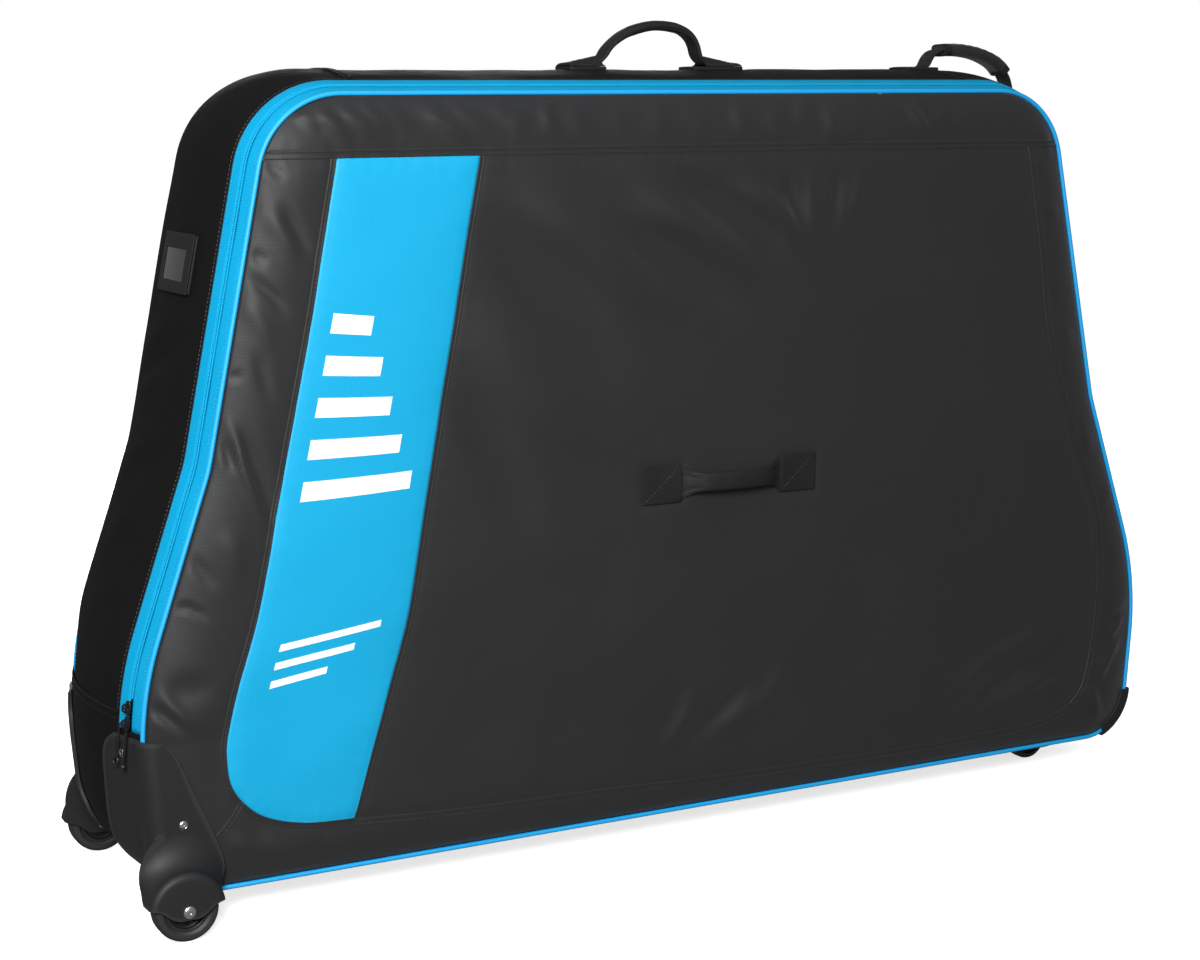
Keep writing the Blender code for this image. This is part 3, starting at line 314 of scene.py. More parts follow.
def stripPiece(name, start, end, low, high, finish, step=0.01, rows=12, lift=0.0, relief=None, drop=None):
    # A sheet over the gusset's skin between two places round the outline and two depths.
    across = max(4, round((end - start) / step))

    def place(u, v):
        walk = start + (end - start) * u
        y = low + (high - low) * v
        rise = lift + (relief(walk, y) if relief else 0.0)
        return skin(walk, y, rise), packed(walk, y)

    piece = gridPiece(name, across, rows, place, finish, drop=drop)
    return faceOut(piece, outwardFromMiddle)


def tubePiece(name, route, radius, finish, sides=12, closed=False):
    # A round cord through the route's points; radius is a number or one for each point.
    route = np.asarray(route)
    count = len(route)
    ahead = np.roll(route, -1, axis=0)
    behind = np.roll(route, 1, axis=0)
    if not closed:
        ahead[-1] = route[-1]
        behind[0] = route[0]
    heading = ahead - behind
    heading /= np.linalg.norm(heading, axis=1)[:, None]
    side = np.cross(heading, (0.0, 1.0, 0.0))
    side /= np.linalg.norm(side, axis=1)[:, None]
    up = np.cross(side, heading)
    steps = count if closed else count - 1
    length = np.concatenate([[0], np.cumsum(np.linalg.norm(np.diff(route, axis=0), axis=1))])
    length = np.append(length, length[-1] + np.linalg.norm(route[0] - route[-1]))
    radii = np.broadcast_to(radius, (count,))

    def place(u, v):
        index = np.rint(u * steps).astype(int)
        here = index % count
        angle = 2 * math.pi * v
        spoke = side[here] * np.cos(angle)[:, None] + up[here] * np.sin(angle)[:, None]
        around = v * 2 * math.pi * radii[here]
        return route[here] + spoke * radii[here][:, None], packed(length[index], around)

    return gridPiece(name, steps, sides, place, finish, closed=True, ends=not closed)


# Finishes

def newFinish(name, colour, roughness, metallic=0.0, **sockets):
    material = bpy.data.materials.new(name)
    material.use_nodes = True
    shader = material.node_tree.nodes["Principled BSDF"]
    shader.inputs["Base Color"].default_value = (*colour, 1.0)
    shader.inputs["Roughness"].default_value = roughness
    shader.inputs["Metallic"].default_value = metallic
    for socket, value in sockets.items():
        shader.inputs[socket.replace("_", " ")].default_value = value
    return material


def node(material, kind, inputs=(), **settings):
    made = material.node_tree.nodes.new(kind)
    for key, value in settings.items():
        setattr(made, key, value)
    for socket, value in dict(inputs).items():
        if isinstance(value, bpy.types.NodeSocket):
            material.node_tree.links.new(value, made.inputs[socket])
        else:
            made.inputs[socket].default_value = value
    return made


def link(material, output, socket):
    shader = material.node_tree.nodes["Principled BSDF"]
    material.node_tree.links.new(output, shader.inputs[socket])


def coordinates(material, byUv=False):
    return node(material, "ShaderNodeTexCoord").outputs["UV" if byUv else "Object"]


def mottle(material, where, colour, spread, scale, roughness, roughSpread):
    # Slow changes of colour and gloss over the cloth or plastic.
    cloud = node(material, "ShaderNodeTexNoise", {"Vector": where, "Scale": scale, "Detail": 5.0})
    shades = [tuple(channel * (1 + side * spread) for channel in colour) for side in (-1, 1)]
    mix = node(material, "ShaderNodeMix", {"Factor": cloud.outputs["Fac"]}, data_type="RGBA")
    mix.inputs["A"].default_value = (*shades[0], 1.0)
    mix.inputs["B"].default_value = (*shades[1], 1.0)
    grain = node(material, "ShaderNodeTexNoise", {"Vector": where, "Scale": scale * 9, "Detail": 3.0})
    gloss = node(material, "ShaderNodeMapRange", {"Value": grain.outputs["Fac"]})
    gloss.inputs["To Min"].default_value = roughness - roughSpread
    gloss.inputs["To Max"].default_value = roughness + roughSpread
    link(material, gloss.outputs["Result"], "Roughness")
    return mix.outputs["Result"]


def weave(material, where, period, axes):
    # Height of crossed threads: two sets of waves. A wave texture of scale 0.314 repeats once in a metre.
    waves = [node(material, "ShaderNodeTexWave", {"Vector": where, "Scale": 0.314 / period},
                  wave_type="BANDS", bands_direction=axis).outputs["Fac"] for axis in axes]
    return node(material, "ShaderNodeMath", {0: waves[0], 1: waves[1]}, operation="MULTIPLY").outputs[0]


def bump(material, height, distance, strength):
    lift = node(material, "ShaderNodeBump", {"Height": height, "Distance": distance, "Strength": strength})
    link(material, lift.outputs["Normal"], "Normal")


def clothFinish(name, colour, roughness, period, depth, axes=("X", "Z"), byUv=False, spread=0.12,
                roughSpread=0.06, scale=7.0, **sockets):
    material = newFinish(name, colour, roughness, **sockets)
    where = coordinates(material, byUv)
    shade = mottle(material, where, colour, spread, scale, roughness, roughSpread)
    threads = weave(material, where, period, axes)
    # The colour follows the threads' height: painted shade in the weave's hollows and a painted highlight
    # on its tops.
    dark = node(material, "ShaderNodeMapRange", {"Value": threads})
    dark.inputs["To Min"].default_value = 0.8
    dark.inputs["To Max"].default_value = 1.1
    paintedLight = node(material, "ShaderNodeMix", {"Factor": 1.0, "A": shade}, data_type="RGBA",
                blend_type="MULTIPLY")
    material.node_tree.links.new(dark.outputs["Result"], paintedLight.inputs["B"])
    link(material, paintedLight.outputs["Result"], "Base Color")
    bump(material, threads, depth, 0.6)
    return material


def plasticFinish(name, colour, roughness, grain, depth, **sockets):
    material = newFinish(name, colour, roughness, **sockets)
    where = coordinates(material)
    shade = mottle(material, where, colour, 0.15, 12.0, roughness, 0.05)
    # Sharp convex edges are painted lighter: a painted highlight along the edges of every finish made here.
    edges = node(material, "ShaderNodeNewGeometry")
    paintedLight = node(material, "ShaderNodeMapRange", {"Value": edges.outputs["Pointiness"]})
    for socket, value in (("From Min", 0.52), ("From Max", 0.62), ("To Min", 0.0), ("To Max", 0.35)):
        paintedLight.inputs[socket].default_value = value
    lighter = tuple(min(1.0, channel * 2.2 + 0.01) for channel in colour)
    edgeHighlight = node(material, "ShaderNodeMix", {"Factor": paintedLight.outputs["Result"], "A": shade}, data_type="RGBA")
    edgeHighlight.inputs["B"].default_value = (*lighter, 1.0)
    link(material, edgeHighlight.outputs["Result"], "Base Color")
    pits = node(material, "ShaderNodeTexNoise", {"Vector": where, "Scale": 1 / grain, "Detail": 2.0})
    bump(material, pits.outputs["Fac"], depth, 0.5)
    return material


def metalFinish(name, colour, roughness, metallic=1.0):
    material = newFinish(name, colour, roughness, metallic)
    where = coordinates(material)
    shade = mottle(material, where, colour, 0.08, 60.0, roughness, 0.08)
    link(material, shade, "Base Color")
    brushed = node(material, "ShaderNodeTexNoise", {"Vector": where, "Scale": 900.0, "Detail": 4.0})
    bump(material, brushed.outputs["Fac"], 0.00004, 0.4)
    return material


coatedFabric = clothFinish("coatedFabric", (0.0172, 0.0175, 0.0184), 0.52, 0.0013, 0.00008,
                           Specular_IOR_Level=0.2, Sheen_Weight=0.08, Sheen_Roughness=0.5)
matteNylon = clothFinish("matteNylon", (0.004, 0.004, 0.0044), 0.72, 0.0017, 0.00018, byUv=True,
                         axes=("X", "Y"), Specular_IOR_Level=0.1)
panelNylon = clothFinish("panelNylon", (0.009, 0.009, 0.0097), 0.66, 0.0017, 0.00018,
                         Specular_IOR_Level=0.2)
blueFabric = clothFinish("blueFabric", (0.004, 0.315, 0.56), 0.55, 0.0013, 0.00008, spread=0.05,
                         Specular_IOR_Level=0.25)
blueTape = clothFinish("blueTape", (0.0, 0.29, 0.53), 0.68, 0.0012, 0.00015, byUv=True, axes=("X", "Y"),
                       spread=0.06, Specular_IOR_Level=0.15)
bluePiping = clothFinish("bluePiping", (0.005, 0.33, 0.72), 0.5, 0.0011, 0.00012, byUv=True,
                         axes=("X", "Y"), spread=0.05)
blueThread = clothFinish("blueThread", (0.0, 0.22, 0.42), 0.5, 0.0008, 0.0001, axes=("X", "Z"), spread=0.05)
blackThread = clothFinish("blackThread", (0.01, 0.01, 0.0105), 0.5, 0.0008, 0.0001, axes=("X", "Z"))
blackWebbing = clothFinish("blackWebbing", (0.0085, 0.0085, 0.0092), 0.68, 0.0019, 0.00035, byUv=True,
                           axes=("X", "Y"), Specular_IOR_Level=0.25)
liningCloth = clothFinish("liningCloth", (0.03, 0.03, 0.032), 0.85, 0.0016, 0.00015, axes=("X", "Z"))
mouldedPlastic = plasticFinish("mouldedPlastic", (0.0105, 0.0107, 0.0112), 0.56, 0.0006, 0.00008,
                               Specular_IOR_Level=0.26)
blackPlastic = plasticFinish("blackPlastic", (0.01, 0.01, 0.011), 0.45, 0.0006, 0.00006)
tyreRubber = plasticFinish("tyreRubber", (0.011, 0.011, 0.011), 0.62, 0.0012, 0.00012)
softFoam = plasticFinish("softFoam", (0.028, 0.028, 0.03), 0.92, 0.0015, 0.0003)
brightSteel = metalFinish("brightSteel", (0.62, 0.62, 0.63), 0.26)
blackMetal = metalFinish("blackMetal", (0.018, 0.018, 0.019), 0.36, 0.6)
clearFilm = plasticFinish("clearFilm", (0.016, 0.017, 0.019), 0.16, 0.02, 0.0004, Coat_Weight=0.6)
greyCard = plasticFinish("greyCard", (0.02, 0.02, 0.022), 0.7, 0.002, 0.00003)
whitePrint = clothFinish("whitePrint", (0.84, 0.85, 0.86), 0.5, 0.0013, 0.00006, spread=0.03)
print("finishes made")


# The front: one padded skin from the top down over the fold to the bottom edge

frontSkin = {
    "across": 296,
    "up": 190,
    "wall": 0.003,
    "topSeam": ((-0.4955, 0.765), (-0.3, 0.7655), (0.1, 0.7655), (0.4885, 0.764)),
    "rightSeam": ((0.439, 0.765), (0.458, 0.659), (0.479, 0.529), (0.523, 0.406), (0.553, 0.33),
                  (0.564, 0.25), (0.56, 0.166), (0.547, 0.111), (0.528, 0.086)),
    "bottomSeam": ((-0.413, 0.0885), (-0.3, 0.082), (-0.124, 0.0755), (0.06, 0.069), (0.277, 0.0655),
                   (0.4, 0.0665), (0.486, 0.0725), (0.528, 0.086)),
    "leftSeam": ((-0.417, 0.766), (-0.434, 0.68), (-0.451, 0.591), (-0.484, 0.443), (-0.511, 0.319),
                 (-0.535, 0.245), (-0.548, 0.195), (-0.5495, 0.169), (-0.546, 0.145), (-0.534, 0.125),
                 (-0.511, 0.106), (-0.471, 0.0935), (-0.413, 0.0885)),
    "bandRight": ((-0.26, 0.766), (-0.278, 0.675), (-0.295, 0.584), (-0.324, 0.43), (-0.348, 0.301),
                  (-0.371, 0.224), (-0.394, 0.15), (-0.413, 0.0885)),
    "cornerSeam": ((-0.537, 0.128), (-0.548, 0.111), (-0.5625, 0.095)),
    "pad": (0.001, 0.02),
    "groove": (0.0013, 0.0055),
    "pucker": (0.00022, 0.01, 0.011),
    "creaseGain": 2.0,
    "deepest": 0.004,
    "flatBorder": 0.12,
    "guardZone": (-0.535, 0.215, 0.02),
    "patchRim": 0.006,
}


def inMetres(rows):
    # Folds in mm: half width, height in tenths of one, and the two coordinates of each place on the way.
    return [(half / 1000, height / 10000,
             *[(a / 1000, b / 1000) for a, b in zip(places[::2], places[1::2])])
            for half, height, *places in rows]


# Creases seen on the front, in x and z
creases = inMetres((
    (6, 16, -459, 818, -430, 791), (7, 22, -444, 821, -396, 778), (7, 24, -421, 822, -362, 777),
    (7, 20, -399, 825, -350, 788), (6, 14, -374, 824, -331, 785), (8, 20, -332, 821, -262, 772),
    (7, 13, -300, 822, -240, 779), (7, 10, -252, 822, -205, 784), (9, 15, -566, 94, -517, 71),
    (11, 13, -530, 88, -470, 58), (11, 10, -455, 78, -400, 50), (8, 10, 452, 790, 484, 752),
    (9, 7, 462, 700, 497, 676), (9, 8, 488, 560, 520, 520), (9, 8, 530, 430, 558, 392),
    (6, 18, 551, 119, 579, 52), (12, 18, 556, 110, 607, 173), (6, 20, 614, 187, 580, 160),
    (6, 16, 574, 202, 624, 201), (9, 7, 563, 330, 600, 352), (5, -14, -487, 762, -466, 745),
    (6, -16, -478, 727, -460, 694, -444, 660), (9, 12, -494, 731, -472, 687, -457, 652),
    (5, -12, -505, 678, -489, 662), (5, -18, -512, 658, -497, 644, -479, 625, -469, 606),
    (9, 12, -516, 640, -498, 605, -485, 570), (6, -10, -505, 586, -496, 546, -487, 520),
    (4, -12, -538, 557, -515, 554), (5, 26, -543, 527, -528, 497, -520, 462, -504, 417, -505, 388),
    (5, -16, -540, 498, -529, 457), (9, -22, -529, 515, -506, 455, -497, 413, -498, 386),
    (6, -13, -576, 386, -564, 362, -549, 343), (10, 12, -547, 410, -533, 379, -529, 343),
    (4, -16, -597, 331, -579, 330, -559, 313), (13, -18, -612, 252, -583, 248, -553, 247),
    (5, 16, -618, 256, -596, 224, -573, 198), (5, -22, -629, 237, -615, 230, -594, 210, -582, 202),
    (5, -20, -604, 188, -582, 179, -569, 164, -557, 146), (6, 14, -610, 203, -585, 189, -569, 179),
    (20, -46, -123, 691, -26, 640, 57, 573), (17, 46, -95, 731, -1, 680, 82, 614),
    (14, -42, -40, 745, 49, 693, 116, 629), (12, 38, 32, 744, 101, 695, 146, 641),
    (7, 14, 135, 755, 144, 645), (7, -14, 105, 751, 126, 667), (7, -14, 175, 754, 166, 661),
    (9, 13, 205, 753, 193, 676), (28, 48, -238, 755, -123, 665, -13, 575),
    (28, -46, -272, 721, -170, 614, -75, 502), (31, 42, -290, 630, -206, 522, -124, 419),
    (20, -30, -292, 538, -242, 440, -196, 340), (11, 18, 312, 88, 395, 151, 469, 180, 533, 228),
    (9, -18, 348, 87, 422, 129, 512, 161), (7, 16, 385, 89, 500, 129, 553, 146),
    (6, 18, 567, 105, 589, 139, 614, 163), (13, 21, 2, 116, 92, 158, 122, 230),
    (10, -18, -24, 108, 47, 165, 73, 220), (10, 16, -53, 98, -19, 146, 2, 194),
    (13, 9, 390, 287, 414, 350, 437, 417), (13, -9, 350, 284, 377, 353, 397, 423),
    (8, 6, -222, 821, -211, 774), (7, 9, -187, 822, -179, 780), (9, 7, -160, 820, -137, 775),
    (11, 4, -106, 820, -95, 773), (11, 8, -59, 822, -46, 778), (11, 5, -12, 820, 3, 767),
    (9, 13, 44, 821, 52, 777), (9, 7, 88, 821, 97, 768), (9, 10, 122, 821, 133, 787),
    (9, 15, 161, 819, 171, 769), (9, 4, 195, 819, 200, 768), (7, 17, 264, 821, 304, 771),
    (8, 7, 307, 820, 322, 785), (8, 9, 339, 820, 348, 773), (8, 4, 369, 818, 381, 784),
))


def smoothRoute(points, spacing):
    # A smooth line through the points, resampled at even steps.
    points = np.asarray(points, float)
    ends = np.concatenate([[2 * points[0] - points[1]], points, [2 * points[-1] - points[-2]]])
    line = []
    share = np.linspace(0, 1, 24, endpoint=False)[:, None]
    for index in range(1, len(ends) - 2):
        before, here, after, beyond = ends[index - 1:index + 3]
        line.append(0.5 * (2 * here + (after - before) * share
                           + (2 * before - 5 * here + 4 * after - beyond) * share ** 2
                           + (3 * here - before - 3 * after + beyond) * share ** 3))
    line = np.concatenate(line + [points[-1:]])
    length = np.concatenate([[0], np.cumsum(np.linalg.norm(np.diff(line, axis=0), axis=1))])
    count = max(2, round(length[-1] / spacing))
    marks = np.linspace(0, length[-1], count + 1)
    return np.stack([np.interp(marks, length, line[:, item]) for item in range(line.shape[1])], axis=-1)


def nearRoute(x, z, route):
    # Distance from each point to a line, and how far along the line that is.
    best = np.full(x.shape, 9.0)
    along = np.zeros(x.shape)
    walked = 0.0
    for start, end in zip(route[:-1], route[1:]):
        step = end - start
        length = float(np.hypot(*step))
        share = unit(((x - start[0]) * step[0] + (z - start[1]) * step[1]) / length ** 2)
        gap = np.hypot(x - start[0] - share * step[0], z - start[1] - share * step[1])
        along = np.where(gap < best, walked + share * length, along)
        best = np.minimum(gap, best)
        walked += length
    return best, along


def ripple(along, seed):
    # Uneven puckers: height, length and phase of each wave.
    return sum(height * np.sin(2 * math.pi * along / length + phase * seed)
               for height, length, phase in ((0.5, 0.021, 1.0), (0.3, 0.0137, 2.1), (0.35, 0.0391, 4.7)))


def creaseRelief(x, z, folds):
    # Each crease is highest in its middle, runs out at its ends and has a shallow dip along each side.
    rise = np.zeros(x.shape)
    for half, height, *points in folds:
        route = smoothRoute(points, 0.015)
        low, high = route.min(axis=0) - 3 * half, route.max(axis=0) + 3 * half
        near = (x > low[0]) & (x < high[0]) & (z > low[1]) & (z < high[1])
        gap, along = nearRoute(x[near], z[near], route)
        share = along / np.sum(np.hypot(*np.diff(route, axis=0).T))
        fade = unit(share / 0.4) * unit((1 - share) / 0.5)
        turn = gap / half
        across = (1 - 0.45 * turn ** 2) * np.exp(-0.5 * turn ** 2)
        rise[near] += height * smooth(fade) * across
    return rise


def fabricSway(x, z, seed):
    # Broad, shallow waves over the whole cloth.
    rise = np.zeros(x.shape)
    for index, (size, height) in enumerate(((0.31, 0.0016), (0.21, 0.0012), (0.13, 0.0008),
                                            (0.071, 0.0003))):
        heading = seed + 2.4 * index
        a = x * math.cos(heading) + z * math.sin(heading)
        b = -x * math.sin(heading) + z * math.cos(heading)
        across = np.cos(2 * math.pi * b / size / 1.7 + heading)
        rise += height * np.sin(2 * math.pi * a / size + heading * 3) * across
    return rise


cornerWalks = [outline[index][0] + outline[index][1] / 2 for index in (0, 6, 8, 14)]


def facePoint(u, v):
    # A place on the flat face, u to the right and v up, between the four rounded corners.
    c0, c1, c2, c3 = cornerWalks
    inset = -caseShape["edgeInset"]

    def rim(walk):
        x, z, nx, nz = edgeAt(walk)
        return np.stack([x + nx * inset, z + nz * inset])

    low = rim(c3 + (c0 + outlineLength - c3) * u)
    high = rim(c2 + (c1 - c2) * u)
    left = rim(c3 + (c2 - c3) * v)
    right = rim(c0 + (c1 - c0) * v)
    corners = [rim(np.array([walk])) for walk in (c3, c0, c2, c1)]
    flat = (1 - v) * low + v * high + (1 - u) * left + u * right
    flat -= (1 - u) * (1 - v) * corners[0] + u * (1 - v) * corners[1]
    flat -= (1 - u) * v * corners[2] + u * v * corners[3]
    return flat


rimTree = KDTree(len(sampleWalks))
for index, (x, z, nx, nz) in enumerate(samples):
    rimTree.insert((x, 0, z), index)
rimTree.balance()


def insetFrom(x, z):
    # How far inside the outline each point is.
    inset = np.empty(len(x))
    for index in range(len(x)):
        place, item, gap = rimTree.find((x[index], 0, z[index]))
        sx, sz, nx, nz = samples[item]
        inset[index] = (sx - x[index]) * nx + (sz - z[index]) * nz if gap < 0.07 else gap
    return inset


def faceCrown(x, z):
    border = caseShape["panelBorder"]
    share = unit((insetFrom(x, z) - caseShape["edgeInset"]) / (border - caseShape["edgeInset"]))
    return caseShape["panelCrown"] * (1 - (1 - share) ** 2.5), share


seamRoutes = [smoothRoute(frontSkin[name], 0.012)
              for name in ("topSeam", "rightSeam", "bottomSeam", "leftSeam", "bandRight", "cornerSeam")]
# Under the grab handle's patches: middle and half size
flatSpots = ((-0.05, 0.409, 0.026, 0.0235), (0.124, 0.409, 0.026, 0.0235))


def frontRelief(x, z, share):
    groove, grooveWidth = frontSkin["groove"]
    pucker, puckerOff, puckerWidth = frontSkin["pucker"]
    pad, padReach = frontSkin["pad"]
    # The cloth sways most below its middle.
    rise = fabricSway(x, z, 0.7) * (0.35 + 0.65 * unit((0.42 - z) / 0.3))
    rise += frontSkin["creaseGain"] * creaseRelief(x, z, creases)
    nearest = np.full(x.shape, 9.0)
    for index, route in enumerate(seamRoutes):
        gap, along = nearRoute(x, z, route)
        nearest = np.minimum(nearest, gap)
        rise -= groove * np.exp(-(gap / grooveWidth) ** 2)
        rise += pucker * ripple(along, 1.3 + index) * np.exp(-((gap - puckerOff) / puckerWidth) ** 2)
    rise += pad * (1 - np.exp(-(nearest / padReach) ** 2))
    # The dips stop short of the lining behind the cloth.
    deepest = frontSkin["deepest"]
    rise = np.where(rise < 0, -deepest * np.tanh(-rise / deepest), rise)
    rise *= smooth(unit(share / frontSkin["flatBorder"]))
    # Nothing lifts the cloth under the wheel guards or the grab handle's patches.
    guardX, guardZ, ease = frontSkin["guardZone"]
    guard = unit((guardX - x) / ease) * unit((guardZ - z) / ease)
    rise = rise * (1 - guard) - 0.0006 * guard
    for middleX, middleZ, halfX, halfZ in flatSpots:
        off = np.maximum(np.abs(x - middleX) - halfX, np.abs(z - middleZ) - halfZ)
        near = unit(1 - off / frontSkin["patchRim"])
        rise = rise * (1 - near) - 0.0003 * near
    return rise


def frontPlace(u, v):
    x, z = facePoint(u, v)
    crown, share = faceCrown(x, z)
    y = -(halfDepth + crown + frontRelief(x, z, share))
    return packed(x, y, z), packed(x, z)


frontPanel = gridPiece("front_skin", frontSkin["across"], frontSkin["up"], frontPlace, coatedFabric,
                       angle=80)
faceOut(frontPanel, forward)


def surfaceTree(piece):
    shape = bmesh.new()
    shape.from_mesh(finishMesh(piece).data)
    tree = BVHTree.FromBMesh(shape)
    shape.free()
    return tree


frontTree = surfaceTree(frontPanel)


def onFront(x, z, lift):
    # Points on the front skin, raised by lift along its own normal.
    points = np.empty((len(x), 3))
    lift = np.broadcast_to(lift, x.shape)
    for index in range(len(x)):
        hit, normal, face, gap = frontTree.ray_cast(Vector((x[index], -0.3, z[index])), Vector((0, 1, 0)))
        if hit is None:
            hit, normal, face, gap = frontTree.find_nearest(Vector((x[index], -faceLevel, z[index])))
        if normal.y > 0:
            normal = -normal
        points[index] = hit + normal * lift[index]
    return points


wall(frontPanel, frontSkin["wall"])
bend(frontPanel, "coated_fabric", "lid_panel", "front_lower_panel")
print("front skin made")


# The band sewn across the left of the front

band = {"lift": 0.0006, "across": 40, "along": 200, "width": 0.155, "length": 0.69, "wall": 0.0004,
        "print": 0.0003}


def bandPoints(u, v, lift):
    edges = []
    for name in ("leftSeam", "bandRight"):
        route = smoothRoute(frontSkin[name], 0.002)
        edges.append([np.interp(1 - v, np.linspace(0, 1, len(route)), route[:, item]) for item in (0, 1)])
    x, z = [left + (right - left) * u for left, right in zip(*edges)]
    return onFront(x, z, lift), packed(u * band["width"], (1 - v) * band["length"])


bandPiece = gridPiece("band", band["across"], band["along"], lambda u, v: bandPoints(u, v, band["lift"]),
                      blueFabric, angle=80)
faceOut(bandPiece, forward)
wall(bandPiece, band["wall"])
bend(bandPiece, "blue_fabric", "lid_band", "front_lower_band")

# A plain print on the band: slanted bars, as shares of its width and length from the bottom
printBars = [(0.14, 0.8 - 0.055 * step, 0.28 + 0.11 * step, 0.026) for step in range(5)]
printBars += [(0.2, 0.36, 0.62, 0.01), (0.2, 0.335, 0.48, 0.01), (0.2, 0.31, 0.34, 0.01)]
marks = []
for left, high, wide, tall in printBars:
    def markPlace(u, v, left=left, high=high, wide=wide, tall=tall):
        slant = 0.05 * wide * u
        return bandPoints(left + wide * u, high - tall * (1 - v) - slant, band["lift"] + band["print"])

    mark = faceOut(gridPiece("mark", max(6, round(wide * 60)), 6, markPlace, whitePrint, angle=80), forward)
    marks.append(wall(mark, 0.0002))
stand(joined("band_print", marks), "lid", "blue_fabric")
print("band made")


# Rear panel, gussets and bottom

def rearPlace(u, v):
    x, z = facePoint(u, v)
    crown, share = faceCrown(x, z)
    sway = fabricSway(x, z, 2.9) * 0.6 * unit(share / 0.2)
    y = halfDepth + crown + np.minimum(sway, 0.0002)
    return packed(x, y, z), packed(x, z)


rearPanel = gridPiece("rear_skin", 150, 100, rearPlace, panelNylon, angle=80)
faceOut(rearPanel, lambda point: Vector((0, 1, 0)))
wall(rearPanel, 0.003)
stand(rearPanel, "case", "matte_nylon", "rear_panel")


def topWalk(x):
    return outline[7][0] + float(outline[7][2].x) - x


shoulderWalk = outline[6][0] + outline[6][1]
towFootWalks = (shoulderWalk - 0.135, shoulderWalk - 0.07)
# Where something is sewn on, the cloth lies flat: start, end and half width
sewnSpots = [(topWalk(high), topWalk(low), 0.02)
             for low, high in ((-0.097, -0.052), (0.06, 0.123), (0.35, 0.398))]
sewnSpots += [(*towFootWalks, 0.02), (walkAtHeight(0.69, -1), walkAtHeight(0.623, -1), 0.048)]


# Folds across the left end, from the back edge up to the zip, in level and depth
endFolds = [(half, height, *[(walkAtHeight(level, -1), depth) for level, depth in places])
            for half, height, *places in inMetres((
                (16, 30, 556, 105, 585, 10, 607, -65), (14, -26, 535, 85, 548, 30, 570, -50),
                (12, 24, 512, 90, 535, 10, 546, -30), (10, 22, 618, -10, 648, -72),
                (15, 26, 452, 80, 480, -60), (16, -22, 420, 70, 452, -55),
                (15, 24, 372, 60, 405, -50), (14, 20, 300, 50, 338, -55)))]
gussetCloth = {"swell": 0.0052, "swellWidth": 0.02, "swellEnds": 0.09, "sewnIn": 0.02, "flatRim": 0.025,
               "wall": 0.0026, "baseWall": 0.0028, "gap": 0.0003}
piping = {"radius": 0.0025, "frontStep": 0.005, "rearStep": 0.007}


def gussetRelief(seed, height=1.0, swell=0.0):
    def relief(walk, y):
        rise = fabricSway(walk, y, seed) * 0.6 * height + creaseRelief(walk, y, endFolds)
        edge = np.minimum(caseShape["sewnEdge"] - y, y - caseShape["gussetFront"])
        rise = rise * unit(edge / gussetCloth["sewnIn"])
        # The cloth swells just inside the back edge, and the piping there hides behind it from the front.
        back = np.clip((caseShape["sewnEdge"] - y) / gussetCloth["swellWidth"], 0, None)
        inside = unit(np.minimum(walk - rightStart, gussetEnd - walk) / gussetCloth["swellEnds"])
        rise += swell * smooth(inside) * back * np.exp(1 - back) * unit((y + 0.06) / 0.04)
        for start, end, half in sewnSpots:
            off = np.maximum(np.maximum(start - walk, walk - end), np.abs(y) - half)
            rise = rise * unit(off / gussetCloth["flatRim"])
        return rise - 0.0003
    return relief


gussetDepths = (caseShape["gussetFront"], caseShape["sewnEdge"])
fullDepths = (-caseShape["sewnEdge"], caseShape["sewnEdge"])
gussetStart = middleWalk + caseShape["shoulderSeam"]
gussetEnd = walkAtHeight(caseShape["kickTop"], -1)
rightStart = walkAtHeight(caseShape["baseTop"], 1)
rightEnd = middleWalk - caseShape["shoulderSeam"]
gap = gussetCloth["gap"]
for name, start, end, seed in (("gusset_left", gussetStart + gap, gussetEnd - gap, 0.4),
                               ("gusset_top", rightEnd + gap, gussetStart - gap, 1.9),
                               ("gusset_right", rightStart + 0.0008, rightEnd - gap, 3.3)):
    piece = stripPiece(name + "_cloth", start, end, *gussetDepths, matteNylon, step=0.006, rows=44,
                       relief=gussetRelief(seed, swell=gussetCloth["swell"]))
    wall(piece, gussetCloth["wall"])
    stand(piece, "case", "matte_nylon", name)

kickStart = gussetEnd + gap
kickEnd = walkAtHeight(caseShape["kickBottom"], -1) - 0.0008


def kickNotch(point):
    return point.z > caseShape["kickNotch"] and point.y < caseShape["gussetFront"] + 0.0008


kick = stripPiece("kick_cloth", kickStart, kickEnd, *fullDepths, matteNylon, step=0.004, rows=60,
                  relief=gussetRelief(5.1, 0.5), drop=kickNotch)
wall(kick, gussetCloth["wall"])
stand(kick, "case", "matte_nylon", "gusset_kick_panel")

baseStart = walkAtHeight(caseShape["kickBottom"], -1) + 0.0008
baseEnd = outlineLength + walkAtHeight(caseShape["baseTop"], 1) - 0.0008
base = stripPiece("base_cloth", baseStart, baseEnd, *fullDepths, matteNylon, step=0.012, rows=20)
wall(base, gussetCloth["baseWall"])
caster = {"x": 0.502, "y": 0.062, "trail": 0.018, "opening": 0.0501, "radius": 0.025, "half": 0.0095,
          "bore": 0.0034, "legIn": 0.0105, "legWall": 0.0025}
for side in (-1, 1):
    shape = bmesh.new()
    bmesh.ops.create_cone(shape, cap_ends=True, segments=64, radius1=caster["opening"],
                          radius2=caster["opening"], depth=0.1,
                          matrix=Matrix.Translation((caster["x"], side * caster["y"], 0.04)))
    finishMesh(base)
    cut(base, addPiece("opening", shape, matteNylon))
stand(base, "case", "matte_nylon", "base_fabric")
print("gussets made")


# Piping

def pipingPiece(name, y, step):
    walk = np.linspace(0.0, outlineLength, round(outlineLength / step), endpoint=False)
    return tubePiece(name, spot(walk, 0.0, y), piping["radius"], bluePiping, closed=True)


